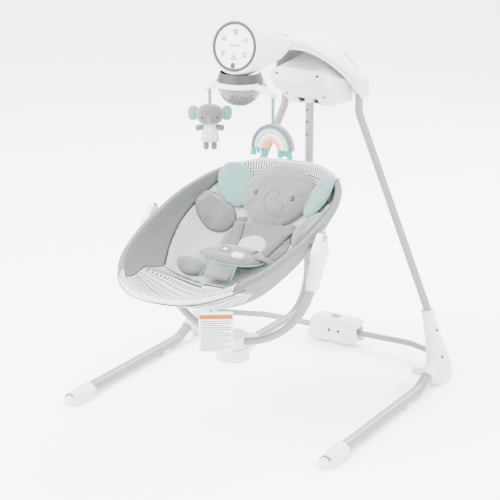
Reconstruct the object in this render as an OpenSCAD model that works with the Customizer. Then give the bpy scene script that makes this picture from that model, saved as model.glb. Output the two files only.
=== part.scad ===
// Baby swing: a folding stand, an overhead control head and motor housing, a swing arm,
// and a soft seat that swivels and reclines on the end of the arm.
// The origin is on the floor under the middle of the stand. +Z is up and the child faces -Y.

/* [Stand] */
// Height of the top of the control head above the floor
overall_h = 1085; // [1075:1:1100]
// Distance between the centres of the two front feet
foot_span = 804; // [790:2:820]
// Tip of the front feet, measured forward of the middle of the stand
foot_reach = 349; // [340:1:360]
// Plane of the rear hubs, measured back from the middle of the stand
hub_y = 365; // [360:1:370]
// Diameter of the floor legs
leg_d = 30; // [28:1:32]
// Diameter of the uprights
upright_d = 22; // [20:1:24]
// Diameter of the rear brace tubes
brace_d = 18; // [16:1:19]

/* [Swing] */
// Height of the swing shaft
shaft_z = 860; // [858:1:862]
// Height of the low run of the swing arm
arm_z = 173; // [170:1:176]
// Diameter of the swing arm tube
arm_d = 24; // [22:1:25]
// Bend radius of the swing arm
arm_bend = 115; // [110:1:120]
// Radius of the seat yoke
yoke_r = 250; // [248:1:252]
// Diameter of the seat yoke tube
yoke_d = 21; // [20:1:22]

/* [Seat] */
// Half width of the seat rim
rim_half_w = 244; // [240:1:245]
// Half length of the seat rim
rim_half_l = 379; // [375:1:382]
// Depth of the seat shell below its rim
seat_depth = 155; // [145:1:160]
// Tilt of the rim, head end up
rim_tilt = 15; // [14:0.5:16]

/* [Control head] */
// Radius of the control head
head_r = 75; // [74:0.5:76]
// Upward tilt of the control panel
head_tilt = 9.8; // [8:0.1:11]
// Radius of the nightlight dome
dome_r = 61; // [58:1:63]

/* [Hidden] */
$fn = 32;
fit = 0.05;                      // radial clearance of a pin in its bore
gap = 0.4;                       // clearance between separate mouldings
wall = 3;
foot_x = foot_span / 2;
leg_z = 21;
leg_rise = 22;                   // angle at which a leg climbs into its hub
leg_bend = 60;
leg_bend_y = hub_y - 163;
upright_y = hub_y + 5;
upright_x = 120;                 // uprights where they enter the housing
bend_z = 756;
hub_top = [353, 205];            // x and z of the top of a hub
lean = atan((hub_top[0] - upright_x) / (bend_z - hub_top[1]));
fold_z = 830;                    // height of the fold pivots
brace_y = 482;
brace_z = 45;
box_pin_x = 45;
shaft_y = 298;
swivel_y = -125;
yoke_z = 455;
pivot_z = 512;                   // recline pivots
seat_y = swivel_y - 14;
seat_z = 529;
head_y = -114;
head_z = overall_h - head_r + 1;
hood_x = 139;                    // half width of the hood
nose_y = 112.5;                  // front of the hood, where the neck meets it
rear_y = 395;
rear_face = rear_y - wall - gap;    // back of the rear moulding, under the edge of the hood
pod_front = 225;
jack_at = [74, 812];              // x and z of the power jack
dome_y = -85;
dome_z = 910;
tip_x = 100;                     // where the toys hang on the toy bar
tip_z = 887;
rim_n = 48;                      // points round each ring of the seat

// ---------- helpers ----------

function power(x, e) = sign(x) * pow(abs(x), e);
function rounded(t, n) = [power(cos(t), 2 / n), power(sin(t), 2 / n)];
function blend4(a, b, c, d, t) =
    0.5 * (2 * b + (c - a) * t + (2 * a - 5 * b + 4 * c - d) * t * t
    + (3 * b - a - 3 * c + d) * t * t * t);
// Stations of a table joined by a smooth curve, k steps between each pair
function smooth(s, k) = [
    for (i = [0:len(s) - 2], j = [0:k - 1])
        blend4(s[max(i - 1, 0)], s[i], s[i + 1], s[min(i + 2, len(s) - 1)], j / k),
    s[len(s) - 1]
];

// Rings of points joined into one closed solid, with its first and last ring capped
module loft(rings) {
    n = len(rings[0]);
    last = len(rings) - 1;
    points = [for (r = rings, p = r) p];
    sides = [
        for (k = [0:last - 1], i = [0:n - 1])
            let (a = k * n + i, b = k * n + (i + 1) % n)
            each [[a, a + n, b + n], [a, b + n, b]]
    ];
    caps = [[for (i = [0:n - 1]) i], [for (i = [n - 1:-1:0]) last * n + i]];
    polyhedron(points, concat(sides, caps));
}

module tube(d, h, bore) {
    difference() {
        cylinder(d = d, h = h);
        translate([0, 0, -1]) cylinder(d = bore, h = h + 2);
    }
}

// A bent length of tube: it starts at the origin along +Z and turns towards +X
module elbow(d, bore, radius, angle) {
    translate([radius, 0, 0]) rotate([90, 0, 180])
        rotate_extrude(angle = angle) translate([radius, 0]) difference() {
            circle(d = d);
            circle(d = bore);
        }
}

module along_y(y, x = 0, z = 0) {
    translate([x, y, z]) rotate([-90, 0, 0]) children();
}

module both() {
    children();
    mirror([1, 0, 0]) children();
}

module block(lo, hi) {
    translate(lo) cube(hi - lo);
}

// ---------- stand: right side, mirrored for the left ----------

module upright() {
    top = fold_z + 8;
    cut = 60 * tan(lean / 2);
    run = norm([hub_top[0] - upright_x, bend_z - hub_top[1]]) + 70;
    difference() {
        union() {
            translate([upright_x, upright_y, bend_z + cut])
                tube(upright_d, top - bend_z - cut, upright_d - 3);
            translate([upright_x, upright_y, bend_z + cut]) rotate([180, 0, 0])
                elbow(upright_d, upright_d - 3, 60, lean);
            translate([upright_x, upright_y, bend_z]) rotate([0, 180 - lean, 0])
                translate([0, 0, cut]) tube(upright_d, run - cut, upright_d - 3);
        }
        along_y(upright_y - 20, upright_x, fold_z) cylinder(r = 4 + fit, h = 40);
    }
}

hub_stations = [
    // height, middle x, half width, reach forward, reach back
    [0, 404, 20, 46, 40],
    [8, 404, 25, 60, 47],
    [34, 401, 27, 76, 51],
    [72, 393, 25, 52, 43],
    [120, 379, 21, 33, 31],
    [165, 366, 18, 23, 22],
    [hub_top[1], 354, 16, 17, 22]
];
function hub_ring(s) = [
    for (i = [0:27])
        let (c = rounded(i * 360 / 28, 2.5))
        [s[1] + s[2] * c[0], hub_y + (c[1] > 0 ? s[4] : s[3]) * c[1], s[0]]
];

// Places children at the end of the leg's bend, where its straight end climbs into the hub
module leg_end() {
    translate([foot_x + 1, leg_bend_y + leg_bend * sin(leg_rise),
        leg_z + leg_bend * (1 - cos(leg_rise))]) rotate([leg_rise - 90, 0, 0]) children();
}

module hub() {
    difference() {
        union() {
            loft([for (s = smooth(hub_stations, 3)) hub_ring(s)]);
            leg_end() translate([0, 0, 46]) cylinder(d = leg_d + 7, h = 60);
            along_y(hub_y - 77, 352, 45) rotate([0, 90, 0]) cylinder(d = 22, h = 40);
        }
        leg_end() translate([0, 0, 5]) cylinder(d = leg_d + 0.2, h = 92);
        translate([upright_x, upright_y, bend_z]) rotate([0, 180 - lean, 0])
            translate([0, 0, 500]) cylinder(d = upright_d + 0.2, h = 170);
    }
}

module leg() {
    start = 10 - foot_reach;
    along_y(start, foot_x + 1, leg_z) tube(leg_d, leg_bend_y - start, leg_d - 3);
    along_y(leg_bend_y, foot_x + 1, leg_z) rotate([0, 0, -90])
        elbow(leg_d, leg_d - 3, leg_bend, leg_rise);
    leg_end() tube(leg_d - 0.1, 96, leg_d - 3.1);
}

module floor_feet() {
    difference() {
        hull() {
            translate([foot_x, 25 - foot_reach, 0]) cylinder(r = 23, h = 20);
            translate([foot_x, 22 - foot_reach, 22]) sphere(r = 16);
            for (x = [-19, 19], y = [95, 101])
                translate([foot_x + x, y - foot_reach, 0]) cylinder(r = 6, h = 24);
            along_y(92 - foot_reach, foot_x + 1, leg_z) cylinder(d = leg_d + 6, h = 12);
        }
        along_y(10 - foot_reach, foot_x + 1, leg_z) cylinder(d = leg_d + 0.2, h = 120);
    }
    difference() {
        block([foot_x - 14, 112, 0], [foot_x + 16, 150, 14]);
        along_y(100, foot_x + 1, leg_z) cylinder(d = leg_d + 0.2, h = 60);
    }
}

// ---------- rear brace and its fold hinge ----------

module hinge_box() {
    low = [-85, brace_y - 24, 10];
    difference() {
        hull() for (y = [6, 42]) {
            along_y(low[1] + y - 6, -76, 22) cylinder(r = 9, h = 12);
            along_y(low[1] + y - 6, 76, 22) cylinder(r = 9, h = 12);
            along_y(low[1] + y - 6, -62, 73) cylinder(r = 12, h = 12);
            along_y(low[1] + y - 6, 66, 73) cylinder(r = 12, h = 12);
        }
        both() block([28, brace_y - 20, 0], [100, brace_y + 20, 62]);
        block([-14, brace_y - 9, 50], [14, brace_y + 9, 90]);
        both() along_y(brace_y - 30, box_pin_x, brace_z) cylinder(r = 4, h = 60);
    }
}

module hinge_pins() {
    both() along_y(brace_y - 22, box_pin_x, brace_z) cylinder(r = 4, h = 44);
}

module brace() {
    turn = 19.5;
    start = 33;
    bend_x = 236;
    difference() {
        union() {
            translate([start, brace_y, brace_z]) rotate([0, 90, 0])
                tube(brace_d, bend_x - start, brace_d - 3);
            translate([bend_x, brace_y, brace_z]) rotate([0, 90, 0]) rotate([0, 0, -90])
                elbow(brace_d, brace_d - 3, 60, turn);
            translate([bend_x + 60 * sin(turn), brace_y - 60 * (1 - cos(turn)), brace_z])
                rotate([0, 90, -turn]) tube(brace_d - 0.1, 146, brace_d - 3.1);
        }
        along_y(brace_y - 20, box_pin_x, brace_z) cylinder(r = 4 + fit, h = 40);
    }
}

module fold_button() {
    block([-12, brace_y - 8, 70], [12, brace_y + 8, 86]);
    translate([0, brace_y, 86]) linear_extrude(5) offset(r = 4) square([16, 8], center = true);
}

// ---------- motor housing ----------

function hood_front(x) =
    nose_y + (rear_y - 50 - nose_y) * pow(max(abs(x) - 18, 0) / (hood_x - 18), 0.85);
function hood_lip(x) =
    800 + 175 * pow(max(cos(90 * x / hood_x), 0), 0.8) - 13 * exp(-pow(x / 22, 2));
function hood_top(x) = 857 + (overall_h - 942) * pow(max(cos(90 * x / (hood_x + 2)), 0), 1.3);
function hood_back(x) = 800 + 62.6 * cos(90 * x / hood_x);

// Half of the outline of the hood in the plane x, from its front lip over to its rear edge
function hood_arc(x, t) =
    let (
        f = hood_front(x) + t, l = hood_lip(x), top = hood_top(x) - t,
        r = rear_y - t, b = hood_back(x), m = 235 + 135 * abs(x) / hood_x, h = top - l
    )
    smooth([
        [f, l], [f + 2, l + 0.45 * h], [f + 0.2 * (m - f), l + 0.86 * h], [m, top],
        [m + 0.62 * (r - m), top - 0.16 * (top - b)], [r - 1, top - 0.5 * (top - b)], [r, b]
    ], 3);
function hood_ring(x) =
    let (
        out = hood_arc(x, 0),
        inner = hood_arc(x, wall),
        n = len(out)
    )
    [for (p = out) [x, p[0], p[1]], for (i = [n - 1:-1:0]) [x, inner[i][0], inner[i][1]]];
function hood_end(x) =
    let (out = hood_arc(x, 0), n = len(out), f = out[0], r = out[n - 1])
    [
        for (p = out) [x, p[0], p[1]],
        for (i = [n - 1:-1:0]) [x, f[0] + wall + (r[0] - f[0] - 2 * wall) * i / (n - 1), f[1]]
    ];

module housing_hood() {
    n = len(hood_ring(0));
    half = n / 2;
    xs = [for (k = [-14:14]) sin(k * 90 / 14) * (hood_x - wall)];
    rings = concat([hood_end(-hood_x), hood_end(0.1 - hood_x + wall)],
        [for (i = [1:len(xs) - 2]) hood_ring(xs[i])],
        [hood_end(hood_x - wall - 0.1), hood_end(hood_x)]);
    last = len(rings) - 1;
    points = [for (r = rings, p = r) p];
    sides = [
        for (k = [0:last - 1], i = [0:n - 1])
            let (a = k * n + i, b = k * n + (i + 1) % n)
            each [[a, b + n, a + n], [a, b, b + n]]
    ];
    // the end walls are strips between the outer and the inner half of a ring
    caps = [
        for (i = [0:half - 2])
            let (
                a = i, b = i + 1, c = n - 2 - i, d = n - 1 - i, z = last * n,
                pair = i < 3 ? [[a, d, b], [b, d, c]] : [[a, c, b], [a, d, c]]
            )
            each concat(pair, [for (f = pair) [z + f[2], z + f[1], z + f[0]]])
    ];
    polyhedron(points, concat(sides, caps));
}

module pod_corners(t, back) {
    // rounded corners of the pod, drawn in by t
    for (s = [-1, 1]) {
        for (p = [[84, 856 + t], [84, 876 - t], [60, 889 - t]])
            translate([s * (p[0] - t), pod_front + 6 + t, p[1]]) sphere(r = 6);
        for (p = [[92, 795 + t], [98, 850 - t], [60, 882 - t], [25, 919 - t]])
            translate([s * (p[0] - t), back, p[1]]) sphere(r = 6);
        translate([s * (64 - t), 308, 784 + t]) sphere(r = 6);
    }
}

module housing_pod() {
    difference() {
        hull() pod_corners(0, 349);
        hull() pod_corners(wall, 362);
        block([-110, 355, 700], [110, 380, 1000]);
        block([-33, 281, 770], [33, 315, 815]);
    }
    difference() {
        along_y(pod_front + 2, 0, shaft_z) cylinder(r = 12, h = 38);
        along_y(240, 0, shaft_z) cylinder(r = 5, h = 40);
    }
}

module housing_rear() {
    difference() {
        block([-88, 355 + gap, 785], [88, rear_face, 862]);
        block([-85, 350, 788], [85, rear_face - wall, 859]);
        along_y(rear_face - 10, jack_at[0], jack_at[1]) cylinder(r = 5.6, h = 20);
    }
    difference() {
        union() {
            block([-30, 346, 846], [30, 354, 874]);
            block([-30, 346, 852], [30, 358, 862]);
        }
        along_y(300, 0, shaft_z) cylinder(r = 5, h = 60);
    }
    both() difference() {
        union() {
            block([106, 346, 814], [134, 356, 851]);
            block([84, 384, 806], [128, rear_face, 831]);
            block([84, 384, 831], [108, rear_face, 850]);
            block([104, 346, 845], [128, 384.2, 851]);
        }
        along_y(340, upright_x, fold_z) cylinder(r = 4, h = 60);
    }
}

module fold_pins() {
    both() along_y(347, upright_x, fold_z) cylinder(r = 4, h = 44);
}

module swing_shaft() {
    along_y(241, 0, shaft_z) cylinder(r = 5, h = 112);
}

module drive_coil() {
    translate([0, shaft_y, 896]) tube(36, 6, 12);
}

module batteries() {
    for (z = [803, 831], x = [-50.5, 0.5])
        translate([x, 375, z]) rotate([0, 90, 0]) {
            cylinder(d = 26, h = 48);
            translate([0, 0, 48]) cylinder(d = 7, h = 1.5);
        }
}

module battery_door() {
    translate([0, rear_face, 821]) rotate([-90, 0, 0])
        linear_extrude(2.6) offset(r = 6) square([98, 34], center = true);
}

module power_jack() {
    along_y(rear_y - 17, jack_at[0], jack_at[1]) difference() {
        cylinder(r = 5.5, h = 15);
        translate([0, 0, 3]) cylinder(r = 2.75, h = 14);
    }
}

module housing_screws() {
    for (x = [-60, 60]) translate([x, 270, 811.2]) rotate([139, 0, 0]) cylinder(r = 3.4, h = 1.8);
    for (x = [-80, 80]) along_y(rear_face, x, 792) cylinder(r = 3.4, h = 2);
}

// ---------- control head ----------

// Places children on the panel: +Z is out of the panel, +Y is up it
module on_panel() {
    translate([0, head_y, head_z]) rotate([90 - head_tilt, 0, 0]) children();
}

module head_shell() {
    r = head_r;
    on_panel() rotate_extrude() polygon([
        [r - 10, -9], [r - 10, -1], [r - 6, 0], [r - 2.5, -2.5], [r - 0.5, -8], [r, -14],
        [r, -48], [r - wall, -48], [r - wall, -12]
    ]);
}

neck_stations = [
    // place along y, middle height, half width, half height
    [-37, -9.5, 72, 69.5],
    [-5, -12.5, 67, 62.5],
    [28, -17.5, 60, 55],
    [73, -27, 50, 43],
    [nose_y - 0.4, -26, 43, 26]
];
function neck_ring(s, t) = [
    for (i = [0:35]) [(s[2] - t) * cos(i * 10), s[0], head_z + s[1] - (s[3] - t) * sin(i * 10)]
];
function neck_start(t) = [
    for (i = [0:35])
        let (c = (head_r - t) * cos(i * 10), s = -(head_r - t) * sin(i * 10), w = 48.4)
        [c, head_y + w * cos(head_tilt) + s * sin(head_tilt),
            head_z - w * sin(head_tilt) + s * cos(head_tilt)]
];
function neck_rings(t) =
    concat([neck_start(t)], [for (s = smooth(neck_stations, 3)) neck_ring(s, t)]);

module neck_shell() {
    n = 36;
    out = neck_rings(0);
    inner = neck_rings(wall);
    rings = concat(out, [for (k = [len(inner) - 1:-1:0]) inner[k]]);
    m = len(rings);
    points = [for (r = rings, p = r) p];
    polyhedron(points, [
        for (k = [0:m - 1], i = [0:n - 1])
            let (a = k * n + i, b = k * n + (i + 1) % n, c = (k + 1) % m * n)
            each [[a, c + i, c + (i + 1) % n], [a, c + (i + 1) % n, b]]
    ]);
}

module bezel_ring() {
    on_panel() translate([0, 0, -6]) tube(2 * head_r - 20.8, 7.2, 116);
}

key_ring = 38;
key_r = 7.5;
power_at = [0, -48];

module key_place(i) {
    rotate(90 + 60 * i) translate([key_ring, 0]) children();
}

module power_outline(grow) {
    translate(power_at) {
        circle(r = 6 + grow);
        translate([-5 - grow, -8 - grow]) square([10 + 2 * grow, 8]);
    }
}

module control_panel() {
    on_panel() translate([0, 0, -4.6]) linear_extrude(3.6) difference() {
        circle(r = 57.6);
        for (i = [0:5]) if (i != 3) key_place(i) circle(r = key_r + 0.3);
        translate([0, -28]) circle(r = key_r + 0.3);
        power_outline(0.4);
    }
}

module key(i) {
    on_panel() translate([0, 0, -8]) {
        if (i == 3) translate([0, -28]) cylinder(r = key_r, h = 7.4);
        else key_place(i) cylinder(r = key_r, h = 7.4);
    }
}

module key_power() {
    on_panel() translate([0, 0, -8]) linear_extrude(8.2) power_outline(0);
}

module circuit_board() {
    on_panel() translate([0, 0, -14]) cylinder(r = 54, h = 1.6);
    on_panel() translate([-12, -8, -17.2]) cube([24, 16, 3]);
}

module drum(extra) {
    on_panel() translate([0, 0, -140]) cylinder(r = head_r + extra, h = 140);
}

module dome_collar() {
    difference() {
        translate([0, dome_y, dome_z + 7.2]) cylinder(r1 = dome_r, r2 = 49, h = 40);
        translate([0, dome_y, dome_z + 6]) cylinder(r1 = dome_r - 3, r2 = 46, h = 42);
        drum(0.3);
        translate([0, dome_y, dome_z + 30]) cylinder(r = 90, h = 40);
    }
}

module dome_lens() {
    translate([0, dome_y, dome_z]) {
        rotate_extrude() intersection() {
            difference() {
                circle(r = dome_r, $fn = 96);
                circle(r = dome_r - 2.5, $fn = 96);
            }
            translate([0, -80]) square([80, 80]);
        }
        tube(2 * dome_r, 7, 2 * dome_r - 5);
    }
}

// ---------- toy bar and toys ----------

module toy_bar() {
    translate([0, dome_y, dome_z - 6]) difference() {
        union() {
            cylinder(r = dome_r + 5, h = 13);
            both() hull() {
                translate([dome_r - 20, 0, 4]) cylinder(r = 32, h = 6);
                translate([tip_x, 0, tip_z - dome_z + 4]) cylinder(r = 5, h = 6);
            }
        }
        translate([0, 0, -40]) cylinder(r = dome_r + gap, h = 80);
        both() hull() {
            translate([dome_r + 2, 0, -30]) cylinder(r = 14, h = 60);
            translate([tip_x - 24, 0, -30]) cylinder(r = 5, h = 60);
        }
    }
}

module elephant_toy() {
    $fn = 18;
    x = -tip_x;
    block([x - 4, dome_y - 0.8, 841], [x + 4, dome_y + 0.8, tip_z - 3]);
    hull() for (s = [-1, 1]) translate([x + s * 18, dome_y, 813]) sphere(r = 30);
    both_at(x) hull() for (z = [806, 824]) translate([45, dome_y + 8, z]) sphere(r = 13);
    hull() {
        for (s = [-1, 1]) translate([x + s * 12, dome_y, 778]) sphere(r = 13);
        for (s = [-1, 1]) translate([x + s * 16, dome_y, 753]) sphere(r = 13);
    }
    both_at(x) hull() {
        translate([16, dome_y, 777]) sphere(r = 9);
        translate([36, dome_y, 771]) sphere(r = 9);
    }
    both_at(x) hull() for (z = [727, 748]) translate([12, dome_y, z]) sphere(r = 9);
}

module both_at(x) {
    translate([x, 0, 0]) both() children();
}

module rainbow_toy() {
    x = tip_x;
    block([x - 4, dome_y - 0.8, 809], [x + 4, dome_y + 0.8, tip_z - 3]);
    along_y(dome_y - 11, x, 753) rotate([180, 0, 0]) translate([0, 0, -22]) linear_extrude(22)
        difference() {
            circle(r = 59, $fn = 64);
            circle(r = 17, $fn = 64);
            translate([-80, -80]) square([160, 80]);
        }
    both_at(x) block([22, dome_y - 2, 729], [54, dome_y + 2, 753]);
}

// ---------- swing arm ----------

module arm_tube() {
    low_y = shaft_y - arm_bend;
    end_y = -75;
    translate([0, shaft_y, arm_z + arm_bend]) tube(arm_d, 845 - arm_z - arm_bend, arm_d - 4);
    translate([0, low_y, arm_z]) rotate([-90, 0, 0]) rotate([0, 0, -90])
        elbow(arm_d, arm_d - 4, arm_bend, 90);
    along_y(end_y, 0, arm_z) tube(arm_d, low_y - end_y, arm_d - 4);
}

module arm_collar() {
    translate([0, shaft_y, 787]) tube(27, 12, arm_d + 0.2);
}

module arm_hanger() {
    difference() {
        union() {
            along_y(271, 0, shaft_z) cylinder(r = 15, h = 54);
            translate([0, shaft_y, 800]) cylinder(r = 16, h = 50);
            block([-7, shaft_y - 8, shaft_z], [7, shaft_y + 8, 885]);
        }
        translate([0, shaft_y, 790]) cylinder(r = arm_d / 2 + 0.1, h = 55.2);
        along_y(260, 0, shaft_z) cylinder(r = 7, h = 80);
    }
}

module arm_bushes() {
    for (y = [269, 317]) along_y(y, 0, shaft_z) tube(14, 10, 10 + 2 * fit);
}

module drive_magnet() {
    block([-12, shaft_y - 8, 885], [12, shaft_y + 8, 892]);
}

module snap_buttons() {
    difference() {
        for (z = [694, 731, 766]) along_y(shaft_y - arm_d / 2 - 1.5, -2, z) cylinder(r = 3.4, h = 3);
        translate([0, shaft_y, 680]) cylinder(d = arm_d, h = 100);
    }
}

module swivel_base() {
    difference() {
        union() {
            translate([0, swivel_y, 152]) cylinder(r = 46, h = 35);
            hull() {
                along_y(-60, 0, arm_z) cylinder(d = arm_d + 14, h = 48);
                translate([0, swivel_y + 20, 155]) cylinder(r = 26, h = 30);
            }
        }
        along_y(-75, 0, arm_z) cylinder(d = arm_d + 0.2, h = 80);
        translate([0, swivel_y, 140]) cylinder(r = 10 + fit, h = 60);
        block([-7.4, swivel_y + 14, 140], [7.4, swivel_y + 26, 170]);
        block([-100, -200, 187], [100, 0, 200]);
    }
}

module swivel_latch() {
    block([-7, swivel_y + 14.4, 139], [7, swivel_y + 25.6, 166]);
}

module swivel_head() {
    difference() {
        union() {
            translate([0, swivel_y, 187.4]) cylinder(r = 42, h = 34);
            translate([0, swivel_y, 158]) cylinder(r = 10, h = 36);
        }
        yoke_ring(yoke_d + 0.2);
    }
}

module yoke_ring(d) {
    translate([0, swivel_y, yoke_z]) rotate([90, 0, 0]) rotate([0, 0, 180])
        rotate_extrude(angle = 180) translate([yoke_r, 0]) circle(d = d);
}

module seat_yoke() {
    difference() {
        union() {
            yoke_ring(yoke_d);
            both() translate([yoke_r, swivel_y, yoke_z]) cylinder(d = yoke_d, h = 18);
        }
        yoke_ring(yoke_d - 4);
        both() translate([yoke_r, swivel_y, yoke_z]) cylinder(d = yoke_d - 4, h = 19);
    }
}

module seat_hub() {
    difference() {
        hull() {
            translate([243, swivel_y, 392]) cylinder(r = 17, h = 4);
            translate([250, swivel_y, 455]) cylinder(r = 19, h = 4);
            for (y = [-16, 16])
                translate([256, swivel_y + y, 500]) rotate([0, 90, 0]) cylinder(r = 17, h = 19);
            translate([256, swivel_y + 6, 532]) rotate([0, 90, 0]) cylinder(r = 15, h = 17);
        }
        yoke_ring(yoke_d + 0.2);
        translate([yoke_r, swivel_y, yoke_z]) cylinder(d = yoke_d + 0.2, h = 18.5);
        translate([240, swivel_y, pivot_z]) rotate([0, 90, 0]) cylinder(r = 6 + fit, h = 26);
        translate([262, swivel_y + 12, 534]) rotate([0, 90, 0]) cylinder(r = 9, h = 20);
        block([200, swivel_y - 60, 470], [252, swivel_y + 60, 560]);
    }
}

module recline_button() {
    translate([266.5, swivel_y + 12, 534]) rotate([0, 90, 0]) cylinder(r = 8.6, h = 11.5);
}

// ---------- seat ----------

// A point of the seat in its own frame: u across, v towards the head, w up from the rim
function on_seat(u, v, w) = [
    u * (1 + 0.06 * v / rim_half_l),
    seat_y + v * cos(rim_tilt) - w * sin(rim_tilt),
    seat_z + v * sin(rim_tilt) + w * cos(rim_tilt)
];
// A ring drawn in from the rim by inset, and lying below it by depth
function rim_ring(inset, depth) = [
    for (i = [0:rim_n - 1])
        let (c = rounded(i * 360 / rim_n, 2.4))
        on_seat((rim_half_w - inset) * c[0], (rim_half_l - inset) * c[1], -depth)
];
// A ring of the bowl, whose sides are steep and whose ends are shallow
function bowl_ring(r, off) = [
    for (i = [0:rim_n - 1])
        let (
            t = i * 360 / rim_n, c = rounded(t, 2.4),
            steep = 3.4 - 1.3 * pow(sin(t), 2), shift = -34 * (1 - r)
        )
        on_seat((rim_half_w - off) * r * c[0], (rim_half_l - off) * r * c[1] + shift,
            -(seat_depth - off) * (1 - pow(r, steep)))
];
bead = 11;                       // radius of the sleeve round the hoop
bowl_steps = [0.14, 0.34, 0.52, 0.67, 0.79, 0.88, 0.94, 0.975];

module seat_sling() {
    loft(concat(
        [for (r = bowl_steps) bowl_ring(r, 0)],
        [for (a = [200:-40:-40]) rim_ring(bead * (1 + cos(a)), -bead * sin(a))],
        [for (k = [len(bowl_steps) - 1:-1:0]) bowl_ring(bowl_steps[k], 6)]
    ));
}

module seat_hoop() {
    ring = rim_ring(bead, 0);
    n = 10;
    r = 6.5;
    points = [
        for (i = [0:rim_n - 1], j = [0:n - 1])
            let (
                p = ring[i], q = ring[(i + 1) % rim_n], o = ring[(i + rim_n - 1) % rim_n],
                d = (q - o) / norm(q - o), up = [0, -sin(rim_tilt), cos(rim_tilt)],
                side = cross(d, up)
            )
            p + r * (cos(j * 360 / n) * up + sin(j * 360 / n) * side)
    ];
    polyhedron(points, [
        for (i = [0:rim_n - 1], j = [0:n - 1])
            let (
                a = i * n + j, b = i * n + (j + 1) % n,
                c = (i + 1) % rim_n * n + (j + 1) % n, d = (i + 1) % rim_n * n + j
            )
            each [[a, d, c], [a, c, b]]
    ]);
    both() translate([230, swivel_y, pivot_z]) rotate([0, 90, 0]) cylinder(r = 6, h = 34);
    both() block([228, swivel_y - 7, pivot_z - 7], [240, swivel_y + 7, pivot_z + 22]);
}

module seat_pad() {
    steps = [0.14, 0.34, 0.52, 0.67, 0.78];
    loft(concat(
        [for (r = steps) bowl_ring(r, 8)],
        [bowl_ring(0.835, 10), bowl_ring(0.84, 15)],
        [for (k = [len(steps) - 1:-1:0]) bowl_ring(steps[k] * 0.985, 23)]
    ));
}

// Height of the bowl over the point (u, v) of the seat, found by a few rounds of iteration
function bowl_r(u, v, off, r = 0.5, k = 6) =
    k == 0 ? r : bowl_r(u, v, off, pow(pow(abs(u) / (rim_half_w - off), 2.4)
        + pow(abs(v + 34 * (1 - r)) / (rim_half_l - off), 2.4), 1 / 2.4), k - 1);
function bowl_w(u, v, off) =
    let (
        r = bowl_r(u, v, off),
        a = pow(abs(u) / (rim_half_w - off), 2.4) + 0.0001,
        b = pow(abs(v + 34 * (1 - r)) / (rim_half_l - off), 2.4)
    )
    -(seat_depth - off) * (1 - pow(r, 3.4 - 1.3 * b / (a + b)));

// An oval ring over the pad, lifted off it; it lies flat where level is above zero
function pad_ring(c, half, size, lift, level = 0) = [
    for (i = [0:23])
        let (
            u = c[0] + half[0] * size * cos(i * 15),
            v = c[1] + half[1] * size * sin(i * 15)
        )
        on_seat(u, v, (level > 0 ? -level : bowl_w(u, v, 23)) + lift)
];

// A cushion over the pad: centre, half sizes, thickness, and how far it is lifted
module cushion(c, half, thick, lift = 0.6, level = 0) {
    loft(concat(
        [for (k = [0.3, 0.7, 0.93]) pad_ring(c, half, k, lift, level)],
        [pad_ring(c, half, 1, lift + 0.3 * thick, level)],
        [for (k = [[0.95, 0.75], [0.75, 0.95], [0.3, 1]])
            pad_ring(c, half, k[0], lift + k[1] * thick, level)]
    ));
}

module body_support() {
    cushion([0, 239], [97, 108], 31, 3);
    cushion([0, 76], [78, 50], 7, 1.6);
    both() cushion([129, 264], [31, 39], 11, 2.4);
    both() cushion([137, 140], [42, 48], 15, 2.4);
    both() cushion([106, -86], [42, 38], 15, 2.4);
}

module harness() {
    cushion([0, -8], [92, 44], 13, 0, 106);
    both() loft([
        for (v = [128, 110, 92, 74, 56, 40])
            let (u = 44 + 0.26 * (v - 40))
            [
                for (q = [[15, 9.4], [-15, 9.4], [-15, 12.4], [15, 12.4]])
                    on_seat(u - q[0], v, bowl_w(u, v, 23) + q[1])
            ]
    ]);
    loft([
        for (q = [[-56, -102], [-72, -106], [-96, -110], [-112, -112]])
            [
                for (c = [[-36, -3], [36, -3], [36, 3], [-36, 3]])
                    on_seat(c[0], q[0], q[1] + c[1])
            ]
    ]);
    translate(on_seat(0, -8, -92.4)) rotate([rim_tilt, 0, 0])
        linear_extrude(8) offset(r = 8) square([44, 16], center = true);
}

module seat_tag() {
    translate([146, -447, 305]) rotate([0, 0, 28])
        translate([-43, -3, 0]) cube([86, 1.2, 106]);
}

// ---------- every node ----------

white = "white";
grey = "silver";
soft_grey = "gray";
teal = "mediumturquoise";

color(white) housing_hood();
color(white) housing_pod();
color(white) housing_rear();
color(white) head_shell();
color(white) neck_shell();
color("dimgray") bezel_ring();
color("whitesmoke") control_panel();
color("green") circuit_board();
color("peru") drive_coil();
color("lightsteelblue") swing_shaft();
color("darkslategray") batteries();
color(white) battery_door();
color("black") power_jack();
color("gray") housing_screws();
color("lightsteelblue") fold_pins();
color("dimgray") dome_collar();
color("darkgray") dome_lens();
color("whitesmoke") key(0);  // key_speed
color("whitesmoke") key(1);  // key_timer
color("whitesmoke") key(2);  // key_music
color("whitesmoke") key(3);  // key_volume
color("whitesmoke") key(4);  // key_nature
color("whitesmoke") key(5);  // key_light
color("dimgray") key_power();
color(white) toy_bar();
color(soft_grey) elephant_toy();
color("aquamarine") rainbow_toy();
color(grey) upright();  // upright_right
color(white) hub();  // hub_right
color(grey) leg();  // leg_right
color(white) floor_feet();  // floor_feet_right
color(grey) mirror([1, 0, 0]) upright();  // upright_left
color(white) mirror([1, 0, 0]) hub();  // hub_left
color(grey) mirror([1, 0, 0]) leg();  // leg_left
color(white) mirror([1, 0, 0]) floor_feet();  // floor_feet_left
color(white) hinge_box();
color("lightsteelblue") hinge_pins();
color(grey) brace();  // brace_right
color(grey) mirror([1, 0, 0]) brace();  // brace_left
color(teal) fold_button();
color(grey) arm_tube();
color(white) arm_collar();
color(white) arm_hanger();
color("tan") arm_bushes();
color("dimgray") drive_magnet();
color("dimgray") snap_buttons();
color(white) swivel_base();
color(white) swivel_latch();
color(white) swivel_head();
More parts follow.
